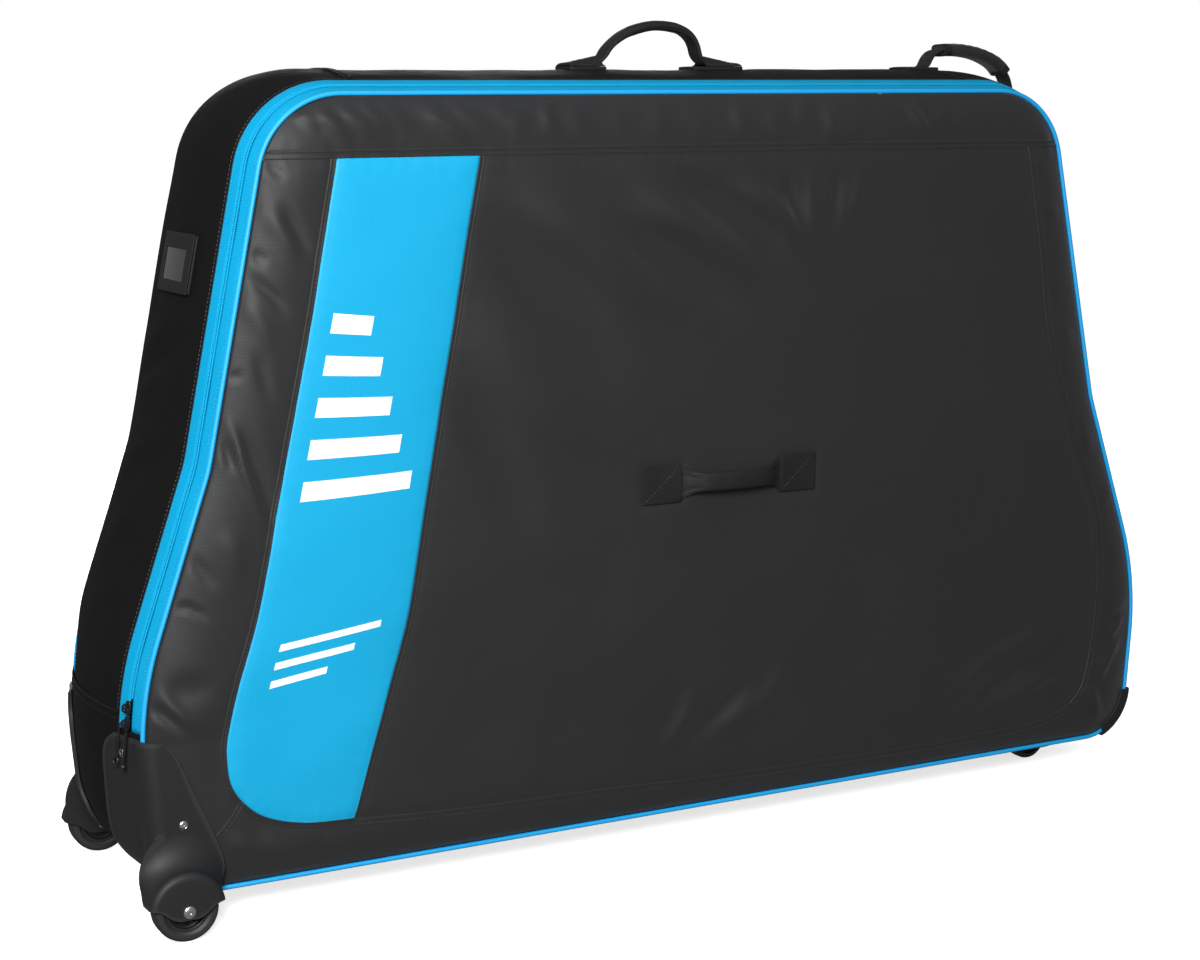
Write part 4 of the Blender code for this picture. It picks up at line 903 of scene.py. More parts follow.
frontPiping = pipingPiece("front_piping", -halfDepth, piping["frontStep"])
bend(frontPiping, "blue_trim", "lid_piping", "lower_piping")
rearPiping = pipingPiece("rear_piping_cord", halfDepth, piping["rearStep"])
stand(rearPiping, "case", "blue_trim", "rear_piping")


# Zip: two tapes, two coils

zipTrack = {"line": -0.1043, "coilOffset": 0.0016, "coil": 0.0013, "pitch": 0.0024, "sliderTop": 0.0302,
            "inner": (-0.1222, -0.1075), "outer": (-0.1011, -0.0864), "wall": 0.0011}
tapeStart = rightFold + 0.0005
tapeEnd = leftFold - 0.0005


def tapeRelief(walk, y):
    sewn = np.minimum(np.abs(y - zipTrack["inner"][0]), np.abs(y - zipTrack["outer"][1]))
    return 0.00035 * np.sin(walk / 0.019) * np.sin(walk / 0.043 + 1.0) * unit(sewn / 0.004)


for side, body in (("inner", "lid"), ("outer", "case")):
    piece = stripPiece("zip_tape_" + side + "_cloth", tapeStart, tapeEnd, *zipTrack[side], blueTape,
                       step=0.006, rows=8, relief=tapeRelief)
    wall(piece, zipTrack["wall"])
    stand(piece, body, "blue_trim", "zip_tape_" + side)


def coilPiece(name, y, start, end):
    count = round((end - start) / (zipTrack["pitch"] / 4))
    walk = np.linspace(start, end, count)
    route = skin(walk, np.full(count, y))
    radius = zipTrack["coil"] * (0.84 + 0.16 * np.sin(2 * math.pi * walk / zipTrack["pitch"]))
    return tubePiece(name, route, radius, blueTape, sides=8)


coilOuter = coilPiece("zip_coil_outer_teeth", zipTrack["line"] + zipTrack["coilOffset"], tapeStart, tapeEnd)
stand(coilOuter, "case", "blue_trim", "zip_coil_outer")
coilInner = coilPiece("zip_coil_inner_teeth", zipTrack["line"] - zipTrack["coilOffset"], tapeStart,
                      leftFold - zipTrack["sliderTop"] - 0.003)
stand(coilInner, "lid", "blue_trim", "zip_coil_inner")
print("piping and zip made")


# Wheel guards: a plate round the corner, an end wing and a boot over the wheel

guard = {
    "wall": 0.003,
    "top": 0.2,
    "length": 0.205,
    "frontEdge": ((-.6182, .1994), (-.6119, .1954), (-.607, .1905), (-.5996, .1794), (-.5893, .155),
                  (-.5807, .1336), (-.5712, .1132), (-.5645, .096), (-.56, .083), (-.557, .073),
                  (-.5556, .063)),
    "wingEdges": ((0, .083), (.01, .068), (.024, .061), (.055, .058), (.09, .055), (.125, .045),
                  (.165, .06), (.205, .095)),
    "corner": 0.0153,
    "hub": (-0.603, 0.033),
    "wheelY": 0.154,
    "noseY": 0.1702,
    "bootRadius": 0.0395,
    "bootNose": 0.032,
    "shoulder": 0.0072,
    "rootShift": (0.003, 0.029),
    "rootHalf": 0.043,
    "rootHigh": 0.047,
    "well": 0.0364,
    "wellHalf": 0.013,
    "ridge": 0.0012,
    "faceRivet": (-0.597, 0.113),
    "gap": 0.0003,
    "plateShare": 0.3,
    "turnShare": 0.6,
    "holes": (0.12, 0.2),
    "boltSeat": 0.1705,
}
hubX, hubZ = guard["hub"]


def steadyValue(pairs, at):
    # A smooth curve through the pairs, read at many places.
    route = smoothRoute(pairs, 0.0008)
    return np.interp(at, route[:, 0], route[:, 1])


def guardShell(side):
    start = walkAtHeight(guard["top"], -1)
    level = faceLevel + guard["gap"]
    radius = guard["corner"]
    inset = radius - 0.0033
    innerEdge = smoothRoute(guard["frontEdge"], 0.0012)
    plateEnd, turnEnd = guard["plateShare"], guard["turnShare"]

    def place(u, v):
        # Over v come the plate on the face, the turn over the edge and the wing on the end.
        along = u * guard["length"]
        walk = start + along
        x, z, nx, nz = edgeAt(walk)
        share = u * (len(innerEdge) - 1)
        inX = np.interp(share, range(len(innerEdge)), innerEdge[:, 0])
        inZ = np.interp(share, range(len(innerEdge)), innerEdge[:, 1])
        edge = steadyValue(guard["wingEdges"], along)
        plate = v <= plateEnd
        front = unit(v / plateEnd)
        turn = unit((v - plateEnd) / (turnEnd - plateEnd)) * math.pi / 2
        wing = unit((v - turnEnd) / (1 - turnEnd))
        out = np.where(plate, -inset, -inset + radius * np.sin(turn))
        y = np.where(plate, level, level - radius + radius * np.cos(turn))
        wingY = (level - radius) + (edge - level + radius) * wing
        lift = crownAt(z) * (1 - (wingY / halfDepth) ** 2) + 0.0008
        lift += guard["ridge"] * np.exp(-((wingY - edge - 0.007) / 0.0028) ** 2)
        settled = unit(wing * 5)
        out = np.where(wing > 0, lift * settled + (1 - settled) * (radius - inset), out)
        y = np.where(wing > 0, wingY, y)
        px, pz = x + nx * out, z + nz * out
        px = np.where(plate, inX + (px - inX) * front, px)
        pz = np.where(plate, inZ + (pz - inZ) * front, pz)
        return packed(px, side * y, pz), packed(walk, v * 0.12)

    shell = gridPiece("shell", 64, 40, place, mouldedPlastic)
    centre = Vector((-0.55, 0, 0.15))
    faceOut(shell, lambda point: point - centre)
    return finishMesh(wall(shell, guard["wall"], offset=1.0))


def bootShape(side):
    # The dome over a wheel, as rings from its flared root to the middle of its nose.
    root = faceLevel - 0.0008
    back = faceLevel + guard["wall"]
    shoulderY = guard["noseY"] - guard["shoulder"]

    def place(u, v):
        # Over v come the flare from the root, the rounded shoulder from 0.5 and the nose from 0.75.
        angle = 2 * math.pi * u
        sweep = unit((v - 0.04) / 0.46) * math.pi / 2
        y = np.where(v < 0.02, root, back + (shoulderY - back) * (1 - np.cos(sweep)))
        ease = 1 - np.sin(sweep)
        cx = guard["rootShift"][0] * ease
        cz = guard["rootShift"][1] * ease
        half = guard["bootRadius"] + (guard["rootHalf"] - guard["bootRadius"]) * ease
        high = guard["bootRadius"] + (guard["rootHigh"] - guard["bootRadius"]) * ease
        roll = unit((v - 0.5) / 0.25) * math.pi / 2
        y = y + guard["shoulder"] * np.sin(roll)
        shrink = (guard["bootRadius"] - guard["bootNose"]) * (1 - np.cos(roll))
        inner = unit((v - 0.75) / 0.25)
        scale = 1 - inner
        half = (half - shrink) * scale
        high = (high - shrink) * scale
        y = y + 0.0006 * (1 - scale ** 2) * (inner > 0)
        points = packed(hubX + cx + half * np.cos(angle), side * y, hubZ + cz + high * np.sin(angle))
        return points, packed(u * 0.25, v * 0.08)

    return gridPiece("boot", 72, 28, place, mouldedPlastic, closed=True, ends=True)


def rod(radius, x, z, low, high, segments=64):
    shape = bmesh.new()
    where = Matrix.Translation((x, (low + high) / 2, z)) @ Matrix.Rotation(math.radians(90), 4, "X")
    bmesh.ops.create_cone(shape, cap_ends=True, segments=segments, radius1=radius, radius2=radius,
                          depth=abs(high - low), matrix=where)
    return addPiece("rod", shape, mouldedPlastic)


def bootTrim(side):
    xs = np.linspace(-0.075, 0.075, 61)
    share = unit((np.abs(xs) - 0.009) / 0.026)
    low = -0.008 + 0.0135 * smooth(share)
    points = [(hubX + x, hubZ + z) for x, z in zip(xs, low)]
    points += [(hubX + 0.075, -0.04), (hubX - 0.075, -0.04)]
    return prism("trim", [(x, side * 0.1, z) for x, z in points], (0, side * 0.1, 0), mouldedPlastic)


def wheelGuard(name, side):
    boot = bootShape(side)
    low, high = guard["wheelY"] - guard["wellHalf"], guard["wheelY"] + guard["wellHalf"]
    cut(boot, rod(guard["well"], hubX, hubZ, side * low, side * high))
    cut(boot, bootTrim(side))
    whole = guardShell(side)
    cut(whole, boot, "UNION")
    through = [side * depth for depth in guard["holes"]]
    cut(whole, rod(0.0045, hubX, hubZ, *through, 24))
    cut(whole, rod(0.0023, *guard["faceRivet"], *through, 20))
    shape = bmesh.new()
    shape.from_mesh(whole.data)
    bpy.data.objects.remove(whole, do_unlink=True)
    bmesh.ops.remove_doubles(shape, verts=shape.verts[:], dist=0.00004)
    bmesh.ops.recalc_face_normals(shape, faces=shape.faces[:])
    whole = addPiece(name + "_moulding", shape, mouldedPlastic, 42)
    soften(whole, 0.0007, 2, 50)
    return stand(whole, "case", "moulded_plastic", name)


def turned(name, profile, place, finish, steps=48, angle=35):
    # A profile of (radius, height) turned about the local Z axis.
    shape = bmesh.new()
    corners = [shape.verts.new((radius, 0, height)) for radius, height in profile]
    edges = [shape.edges.new(pair) for pair in zip(corners, corners[1:] + corners[:1])
             if pair[0].co.x > 0 or pair[1].co.x > 0]
    bmesh.ops.spin(shape, geom=corners + edges, cent=(0, 0, 0), axis=(0, 0, 1), angle=math.tau, steps=steps,
                   use_merge=True)
    bmesh.ops.remove_doubles(shape, verts=shape.verts[:], dist=0.000005)
    bmesh.ops.transform(shape, matrix=place, verts=shape.verts[:])
    bmesh.ops.recalc_face_normals(shape, faces=shape.faces[:])
    return addPiece(name, shape, finish, angle)


def alongY(x, z, y, side):
    return Matrix.Translation((x, y, z)) @ Matrix.Rotation(math.radians(-90 * side), 4, "X")


def rivetHead(radius, height, base=0.0):
    # A domed head with a small hole in the middle, from the centre outwards.
    hole = radius * 0.24
    return [(0, height * 0.35), (hole * 0.9, height * 0.35), (hole, height * 0.45), (hole, height * 0.93),
            (hole * 1.4, height), (radius * 0.62, height * 0.86), (radius * 0.85, height * 0.55),
            (radius * 0.97, height * 0.25), (radius, base + 0.0002), (radius, base)]


def rivets(name, side):
    face = faceLevel + guard["gap"] + guard["wall"]
    profile = rivetHead(0.0042, 0.0016, 0.0003) + [(0.002, 0.0003), (0.002, -0.003), (0, -0.003)]
    piece = turned(name + "_face_rivet_head", profile, alongY(*guard["faceRivet"], side * face, side),
                   brightSteel, 32)
    stand(piece, "case", "bright_steel", name + "_face_rivet")
    low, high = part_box(name + "_end_rivet")
    outer = [face for face in frame["nodes"][name + "_end_rivet"].data.polygons
             if face.area > 0.000001 and face.normal.x < -0.5]
    normal = sum((face.normal * face.area for face in outer), Vector((0, 0, 0))).normalized()
    seat = (low + high) / 2 - normal * 0.0008
    spin = normal.to_track_quat("Z", "Y").to_matrix().to_4x4()
    profile = rivetHead(0.0042, 0.0016) + [(0, 0.0)]
    piece = turned(name + "_end_rivet_head", profile, Matrix.Translation(seat) @ spin, brightSteel, 32)
    stand(piece, "case", "bright_steel", name + "_end_rivet")


def axleBolt(name, side):
    outer = guard["boltSeat"]
    length = outer - (faceLevel + 0.0007)
    radius, height = 0.0065, 0.003
    dome = [(radius * math.sin(turn), 0.0004 + (height - 0.0004) * math.cos(turn))
            for turn in np.linspace(0.35, math.pi / 2, 8)]
    profile = [(0, height * 0.62), (0.0015, height * 0.62), (0.0017, height * 0.97)] + dome
    profile += [(radius, 0.0), (0.0042, 0.0), (0.0042, -length), (0, -length)]
    piece = turned(name + "_head", profile, alongY(hubX, hubZ, side * outer, side), brightSteel, 40)
    stand(piece, "case", "bright_steel", name)


wheel = {"radius": 0.033, "half": 0.012, "rim": 0.0225, "web": 0.0008, "holes": 10, "holeRadius": 0.003,
         "holeCircle": 0.015}


def fixedWheel(name, side):
    where = alongY(hubX, hubZ, side * guard["wheelY"], side)
    half, radius, inner = wheel["half"], wheel["radius"], wheel["rim"]
    outer = [(inner, half * 0.8), (inner + 0.0012, half * 0.86), (inner + 0.0028, half * 0.985),
             (radius - 0.0042, half)]
    outer += [(radius - 0.0042 * (1 - math.sin(turn)), half * (0.45 + 0.55 * math.cos(turn)))
              for turn in np.linspace(0.15, math.pi / 2, 8)]
    profile = outer + [(r, -h) for r, h in reversed(outer)]
    tyre = turned(name + "_tyre_ring", profile, where, tyreRubber, 72)
    stand(tyre, name, "tyre_rubber", name + "_tyre")
    rim = inner - 0.0003
    inside = rim - 0.0025
    hub = [(0.0045, half * 0.96), (0.0082, half * 0.96), (0.009, half * 0.9), (0.0096, 0.0034),
           (0.0108, 0.003), (inside - 0.0012, 0.003), (inside, 0.004), (inside, half * 0.76),
           (inside + 0.0005, half * 0.8), (rim - 0.0004, half * 0.8), (rim, half * 0.76)]
    hub += [(r, -h) for r, h in reversed(hub)]
    piece = turned("hub", hub, where, blackPlastic, 60)
    for step in range(wheel["holes"]):
        turn = 2 * math.pi * (step + 0.5) / wheel["holes"]
        x = hubX + wheel["holeCircle"] * math.cos(turn)
        z = hubZ + wheel["holeCircle"] * math.sin(turn)
        reach = (side * (guard["wheelY"] + wheel["web"]), side * (guard["wheelY"] + half))
        cut(piece, rod(wheel["holeRadius"], x, z, *reach, 16))
    piece.name = name + "_hub_disc"
    piece.data.set_sharp_from_angle(angle=math.radians(35))
    stand(piece, name, "moulded_plastic", name + "_hub")


# Corner guards at the casters' end

cornerGuard = {"start": 0.588, "top": 0.091, "wall": 0.0025}


def cornerRim(name, side):
    start = outlineLength + cornerGuard["start"] - float(outline[0][2].x)
    end = outlineLength + walkAtHeight(cornerGuard["top"], 1)
    # How far out and how deep each row lies; those without a number lie on the swelled end.
    rimRows = ((-0.012, 0.1306), (-0.008, 0.1305), (-0.0026, 0.1292), (0.0002, 0.1287), (0.0026, 0.1277),
               (0.0042, 0.1256), (0.0043, 0.1222), (np.nan, 0.118), (np.nan, 0.111), (np.nan, 0.103))
    outs, depths = np.array(rimRows).T

    def place(u, v):
        walk = start + (end - start) * u
        index = v * (len(rimRows) - 1)
        y = np.interp(index, range(len(depths)), depths)
        x, z, nx, nz = edgeAt(walk)
        swelled = crownAt(z) * (1 - (y / halfDepth) ** 2) + 0.001
        row = np.rint(index).astype(int)
        out = np.where(np.isnan(outs[row]), swelled, outs[row])
        tuck = 1 - 0.1 * (np.abs(2 * u - 1) ** 8)
        points = packed(x + nx * out * tuck, side * y, z + nz * out * tuck)
        return points, packed(walk, y)

    rim = gridPiece(name + "_moulding", 40, len(rimRows) - 1, place, mouldedPlastic)
    faceOut(rim, lambda point: point - Vector((0.45, 0, 0.2)))
    wall(rim, cornerGuard["wall"], 0.0006, offset=1.0)
    return stand(rim, "case", "moulded_plastic", name)


# Swivel casters

def casterPieces(name, side):
    y = side * caster["y"]
    x = caster["x"]
    roller = "caster_roller_" + name.split("_")[1]
    where = Matrix.Translation((x, y, 0))
    outer, bore, top, flangeTop = 0.0495, 0.0465, 0.078, 0.0317
    profile = [(0.0064, top), (outer - 0.004, top), (outer - 0.0012, top - 0.0012), (outer, top - 0.004),
               (outer, flangeTop + 0.0008), (outer + 0.0008, flangeTop), (0.0556, flangeTop),
               (0.056, 0.0313), (0.056, 0.0291), (0.0556, 0.0287), (bore + 0.0006, 0.0287), (bore, 0.0293),
               (bore, 0.072), (bore - 0.003, 0.075), (0.0125, 0.075), (0.012, 0.0745), (0.012, 0.0665),
               (0.0115, 0.066), (0.0064, 0.066)]
    housing = turned(name + "_cup", profile, where, mouldedPlastic, 64)
    stand(housing, "case", "moulded_plastic", name + "_housing")
    wx, wz = x + caster["trail"], caster["radius"]
    legIn = caster["legIn"]
    legOut = legIn + caster["legWall"]
    crown = [(0.0, 0.058), (0.0182, 0.058), (0.019, 0.0572), (0.019, 0.0548), (0.0182, 0.054), (0.0, 0.054)]
    fork = turned("fork", crown, where, mouldedPlastic, 48)
    stemProfile = [(0, 0.075), (0.0055, 0.075), (0.006, 0.0745), (0.006, 0.057), (0, 0.057)]
    stem = turned("stem", stemProfile, where, mouldedPlastic, 32)
    cut(fork, stem, "UNION")
    for leg in (-1, 1):
        low, high = y + leg * legIn, y + leg * legOut
        arc = [(wx - 0.0085 * math.cos(turn), wz - 0.0085 * math.sin(turn))
               for turn in np.linspace(0, math.pi, 16)]
        arc += [(x + 0.0165, 0.044), (x + 0.014, 0.056), (x - 0.012, 0.056), (x - 0.004, 0.046)]
        cheek = prism("cheek", [(ax, low, az) for ax, az in arc], (0, high - low, 0), mouldedPlastic)
        cut(fork, cheek, "UNION")
    cut(fork, rod(caster["bore"], wx, wz, y - 0.03, y + 0.03, 24))
    fork.name = name + "_fork_moulding"
    fork.data.set_sharp_from_angle(angle=math.radians(35))
    soften(fork, 0.0005, 2, 50)
    stand(fork, name, "moulded_plastic", name + "_fork")
    radius, half = caster["radius"], caster["half"]
    tread = [(radius - 0.0035 * (1 - math.sin(turn)), half * 0.5 + half * 0.5 * math.cos(turn))
             for turn in np.linspace(0, math.pi / 2, 8)]
    rollerProfile = [(caster["bore"], half), (0.0085, half), (0.0095, half * 0.72), (0.0175, half * 0.72),
                     (0.0185, half)]
    rollerProfile += tread
    rollerProfile += [(r, -h) for r, h in reversed(rollerProfile)]
    piece = turned(name + "_wheel_tread", rollerProfile, alongY(wx, wz, y, -1), tyreRubber, 56)
    stand(piece, roller, "tyre_rubber", name + "_wheel")
    length = 2 * legOut + 0.0003
    dome = [(0.0055 * math.sin(turn), 0.0018 * math.cos(turn) ** 0.7) for turn in np.linspace(0, 1.5, 7)]
    axle = dome + [(0.0055, 0.0), (0.0031, 0.0), (0.0031, -length), (0, -length)]
    piece = turned(name + "_axle_pin", axle, alongY(wx, wz, y - legOut - 0.0003, -1), brightSteel, 32)
    stand(piece, name, "bright_steel", name + "_axle")


for end, side in (("front", -1), ("rear", 1)):
    wheelGuard("wheel_guard_" + end, side)
    rivets("guard_" + end, side)
    axleBolt("axle_bolt_" + end, side)
    fixedWheel("wheel_" + end, side)
    cornerRim("corner_guard_" + end, side)
    casterPieces("caster_" + end, side)
print("guards, wheels and casters made")


# Seams on the front: a folded welt with a row of stitches beside it

seamStyle = {"stitch": 0.0034, "thread": 0.00042, "pitch": 0.0044}


def headings(route):
    steps = np.gradient(route, axis=0)
    return steps / np.linalg.norm(steps, axis=1)[:, None]


def weltPiece(name, route, width, rise):
    # A folded strip laid along a line on the front: steep along the line, running out to nothing beside it.
    heading = headings(route)
    count = len(route) - 1

    def place(u, v):
        index = u * count
        x, z, hx, hz = [np.interp(index, range(count + 1), column) for column in (*route.T, *heading.T)]
        off = v * width
        high = np.interp(v, (0, 0.04, 0.1, 0.22, 0.52, 0.62, 0.74, 1.0),
                         (-0.0003, rise * 0.75, rise, rise, rise * 0.55, rise * 0.4, rise * 0.7, -0.0002))
        return onFront(x - hz * off, z + hx * off, high), packed(index * 0.004, off)

    return faceOut(gridPiece(name, count, 20, place, coatedFabric, angle=60), forward)


def stitchLine(points, size=seamStyle["stitch"], thread=seamStyle["thread"], pitch=seamStyle["pitch"],
               finish=blackThread):
    # Stitches laid end to end along a line of points, made from one small capsule.
    length = float(np.sum(np.linalg.norm(np.diff(points, axis=0), axis=1)))
    shape = bmesh.new()
    bmesh.ops.create_uvsphere(shape, u_segments=6, v_segments=4, radius=1.0)
    across = Matrix.Rotation(math.radians(90), 4, "Y")
    bmesh.ops.transform(shape, matrix=Matrix.Diagonal((size / 2, thread, thread, 1)) @ across,
                        verts=shape.verts[:])
    bmesh.ops.translate(shape, verts=shape.verts[:], vec=(pitch / 2, 0, 0))
    piece = addPiece("stitches", shape, finish, 80)
    curve = bpy.data.curves.new("line", "CURVE")
    curve.dimensions = "3D"
    spline = curve.splines.new("POLY")
    spline.points.add(len(points) - 1)
    for knot, point in zip(spline.points, points):
        knot.co = (*point, 1.0)
    line = bpy.data.objects.new("line", curve)
    bpy.context.scene.collection.objects.link(line)
    row = piece.modifiers.new("Row", "ARRAY")
    row.count = max(1, int(length / pitch))
    row.use_relative_offset = False
    row.use_constant_offset = True
    row.constant_offset_displace = (pitch, 0, 0)
    follow = piece.modifiers.new("Follow", "CURVE")
    follow.object = line
    finishMesh(piece)
    bpy.data.objects.remove(line, do_unlink=True)
    bpy.data.curves.remove(curve)
    return piece


def beside(route, off):
    # A line on the front's plane, moved sideways.
    heading = headings(route)
    return packed(route[:, 0] - heading[:, 1] * off, route[:, 1] + heading[:, 0] * off)


# Each seam's line, how far beside it the fold lies, the fold's width and height, and its row of stitches
frontFolds = (("topSeam", -0.0008, 0.01, 0.0014, 0.0056), ("rightSeam", 0.0, 0.01, 0.0009, 0.0052),
              ("bottomSeam", 0.0008, -0.01, 0.0014, -0.0056), ("cornerSeam", 0.0, 0.008, 0.0007, 0.0046),
              ("leftSeam", 0.0012, -0.007, 0.0011, -0.0038), ("bandRight", -0.0012, 0.007, 0.0011, 0.0038))
frontRows = []
for name, off, width, rise, row in frontFolds:
    route = beside(smoothRoute(frontSkin[name], 0.004), off)
    bend(weltPiece("fold_" + name, route, width, rise), "coated_fabric")
    side = beside(smoothRoute(frontSkin[name], 0.006), off + row)
    frontRows.append(stitchLine(onFront(side[:, 0], side[:, 1], rise * 0.65)))
bend(joined("front_stitches", frontRows), "coated_fabric")
print("front seams made")


# Stitches along the zip tapes and the gusset's edges, and the lapped seams across the gusset

def skinLine(start, end, y, lift, step=0.006):
    count = max(2, round((end - start) / step))
    return skin(np.linspace(start, end, count), np.full(count, y), np.full(count, lift))


for side, y, body in (("inner", -0.1187, "lid"), ("outer", -0.0893, "case")):
    row = stitchLine(skinLine(tapeStart, tapeEnd, y, 0.0003), 0.0028, 0.0003, 0.004, blueThread)
    stand(joined("tape_stitches_" + side, [row]), body, "blue_trim")


def crossTape(name, walk, low, high, width):
    # A folded tape sewn over a seam that runs across the gusset.
    def place(u, v):
        here = walk + (u - 0.5) * width
        y = low + (high - low) * v
        rise = np.interp(u, (0, 0.08, 0.5, 0.92, 1), (-0.0002, 0.0007, 0.0008, 0.0007, -0.0002))
        return skin(here, y, rise), packed(here, y)

    return faceOut(gridPiece(name, 8, 40, place, matteNylon, angle=60), outwardFromMiddle)


low, high = caseShape["gussetFront"] + 0.0005, 0.1215
gussetRows = []
for name, walk in (("shoulder_tape_left", gussetStart), ("shoulder_tape_right", rightEnd),
                   ("kick_tape", gussetEnd)):
    stand(crossTape(name, walk, low, high, 0.011), "case", "matte_nylon")
    for off in (-0.0035, 0.0035):
        gussetRows.append(stitchLine(skin(np.full(40, walk + off), np.linspace(low, high, 40), 0.0009)))
for start, end in ((gussetStart + 0.004, gussetEnd - 0.004), (rightEnd + 0.004, gussetStart - 0.004),
                   (rightStart + 0.004, rightEnd - 0.004)):
    for y in (caseShape["gussetFront"] + 0.0035, caseShape["sewnEdge"] - 0.004):
        gussetRows.append(stitchLine(skinLine(start, end, y, 0.0001)))
stand(joined("gusset_stitches", gussetRows), "case", "matte_nylon")
print("gusset seams made")


# Zip sliders and their pulls

sliderSize = {"length": 0.0145, "pitch": 0.0155, "low": 0.0016, "plate": 0.0024, "pivot": 0.0075,
              "wire": 0.0008, "arm": 0.0065, "tabWall": 0.002}


def trackFrame(order):
    # Local X points out of the tape, local Y across it towards the front and local Z up the track.
    walk = leftFold - 0.001 - sliderSize["length"] / 2 - order * sliderSize["pitch"]
    x, z, nx, nz = [float(item) for item in edgeAt(walk)]
    out = Vector((nx, 0, nz))
    slope = 2 * float(crownAt(z)) * abs(zipTrack["line"]) / halfDepth ** 2
    outward = (out - Vector((0, slope, 0))).normalized()
    across = -(Vector((0, 1, 0)) + slope * out).normalized()
    where = Matrix.Identity(4)
    for column, axis in enumerate((outward, across, outward.cross(across))):
        where.col[column] = (*axis, 0)
    where.col[3] = (*skin(np.array([walk]), np.array([zipTrack["line"]]))[0], 1)
    return where


def sliderPiece(name, order):
    low, top = sliderSize["low"], sliderSize["low"] + sliderSize["plate"]
    half = ((0.0022, -0.00725), (0.0036, -0.0054), (0.004, -0.002), (0.004, 0.0034), (0.0033, 0.0058),
            (0.0021, 0.00725))
    corners = [(low, y, z) for y, z in half] + [(low, -y, z) for y, z in reversed(half)]
    body = soften(prism("body", corners, (sliderSize["plate"], 0, 0), blackMetal), 0.0006, 3, 30)
    arch = ((top - 0.0004, -0.00475), (top + 0.0034, -0.0046), (top + 0.0058, -0.0028),
            (top + 0.0058, 0.0028), (top + 0.0034, 0.0046), (top - 0.0004, 0.00475), (top - 0.0004, 0.003),
            (top + 0.003, 0.0028), (top + 0.0046, 0.0017), (top + 0.0046, -0.0017), (top + 0.003, -0.0028),
            (top - 0.0004, -0.003))
    bridge = prism("bridge", [(x, -0.0015, z) for x, z in arch], (0, 0.003, 0), blackMetal)
    soften(bridge, 0.0004, 2, 30)
    whole = joined(name + "_body", [body, bridge])
    whole.data.transform(trackFrame(order))
    stand(whole, name.replace("zip_", ""), "black_metal", name)


def pullPiece(name, order, side, length, width):
    # Made in a plane of its own, X across the track and Z up it, with Y towards the tape.
    arm = side * sliderSize["arm"]
    thick = sliderSize["tabWall"]
    bent = ((-side * 0.0037, 0, 0), (side * 0.002, 0, 0), (side * 0.005, 0, -0.0001),
            (side * 0.0062, 0, -0.0008), (arm, 0, -0.0024), (arm, 0, -0.008),
            (arm, 0, -length * 0.45 + 0.0012))
    wire = tubePiece("wire", smoothRoute(bent, 0.0006), sliderSize["wire"], blackMetal, sides=10)
    middle = arm + side * (width / 2 - 0.0013)
    high, low = -length * 0.42, -length
    half = width / 2
    flank = ((half * 0.62, high), (half * 0.94, high - half * 0.3), (half, high - half * 0.9),
             (half * 0.8, (high + low) / 2), (half, low + half * 0.9), (half * 0.7, low + half * 0.2),
             (half * 0.5, low))
    flat = -thick * 0.55
    corners = [(middle + x, flat, z) for x, z in flank]
    corners += [(middle - x, flat, z) for x, z in reversed(flank)]
    tab = soften(prism("tab", corners, (0, thick, 0), blackMetal), 0.0005, 2, 30)
    made = [wire, tab]
    if width > 0.005:
        ring = [(0.0042 + 0.0013 * math.cos(turn), 0.0012 * math.sin(turn))
                for turn in np.linspace(0, 2 * math.pi, 13)[:-1]]
        seat = Matrix.Translation((middle, -thick * 0.05, low - 0.0033))
        seat = seat @ Matrix.Rotation(math.radians(90), 4, "X")
        made.append(turned("ring", ring, seat, blackMetal, 28, 60))
        for step in range(3):
            z = high - 0.006 - 0.0032 * step
            rib = [(middle + across * half * 0.6, flat - 0.0004, z + up * 0.0006)
                   for across, up in ((1, -1), (1, 1), (-1, 1), (-1, -1))]
            made.append(soften(prism("rib", rib, (0, 0.0006, 0), blackMetal), 0.0002, 1, 30))
    else:
        shape = bmesh.new()
        bmesh.ops.create_uvsphere(shape, u_segments=20, v_segments=12, radius=0.0032)
        bmesh.ops.translate(shape, verts=shape.verts[:], vec=(middle, -thick * 0.05, low - 0.0019))
        made.append(addPiece("ball", shape, blackMetal, 60))
    whole = joined(name + "_tab", made)
    turn = Matrix.Translation((sliderSize["pivot"], 0, 0)) @ Matrix.Rotation(math.radians(90), 4, "Z")
    whole.data.transform(trackFrame(order) @ turn)
    stand(whole, name.replace("zip_", ""), "black_metal", name)


sliderPiece("zip_slider_a", 0)
sliderPiece("zip_slider_b", 1)
pullPiece("zip_pull_a", 0, -1, 0.036, 0.009)
pullPiece("zip_pull_b", 1, 1, 0.056, 0.0035)
print("sliders made")


# Webbing: swept straps, sewn pads and rows of stitches on them

def swept(name, points, section, across, finish, spacing=0.002, sides=28, ends=True, relief=None):
    # section(share): half thickness, half width and squareness. relief(share, angle) presses the skin in.
    route = smoothRoute(points, spacing)
    count = len(route)
    heading = headings(route)
    up = np.cross(heading, across)
    up /= np.linalg.norm(up, axis=1)[:, None]
    wide = np.cross(up, heading)
    length = np.concatenate([[0], np.cumsum(np.linalg.norm(np.diff(route, axis=0), axis=1))])

    def place(u, v):
        index = np.rint(u * (count - 1)).astype(int)
        share = length[index] / length[-1]
        thick, half, square = section(share)
        angle = 2 * math.pi * v
        press = relief(share, angle) if relief else 0.0
        side = np.sign(np.cos(angle)) * np.abs(np.cos(angle)) ** (2 / square) * (half - press)
        rise = np.sign(np.sin(angle)) * np.abs(np.sin(angle)) ** (2 / square) * (thick - press)
        points = route[index] + wide[index] * side[:, None] + up[index] * rise[:, None]
        return points, packed(length[index], side + np.where(rise > 0, 0.0, 0.05))

    return gridPiece(name, count - 1, sides, place, finish, angle=55, closed=True, ends=ends)


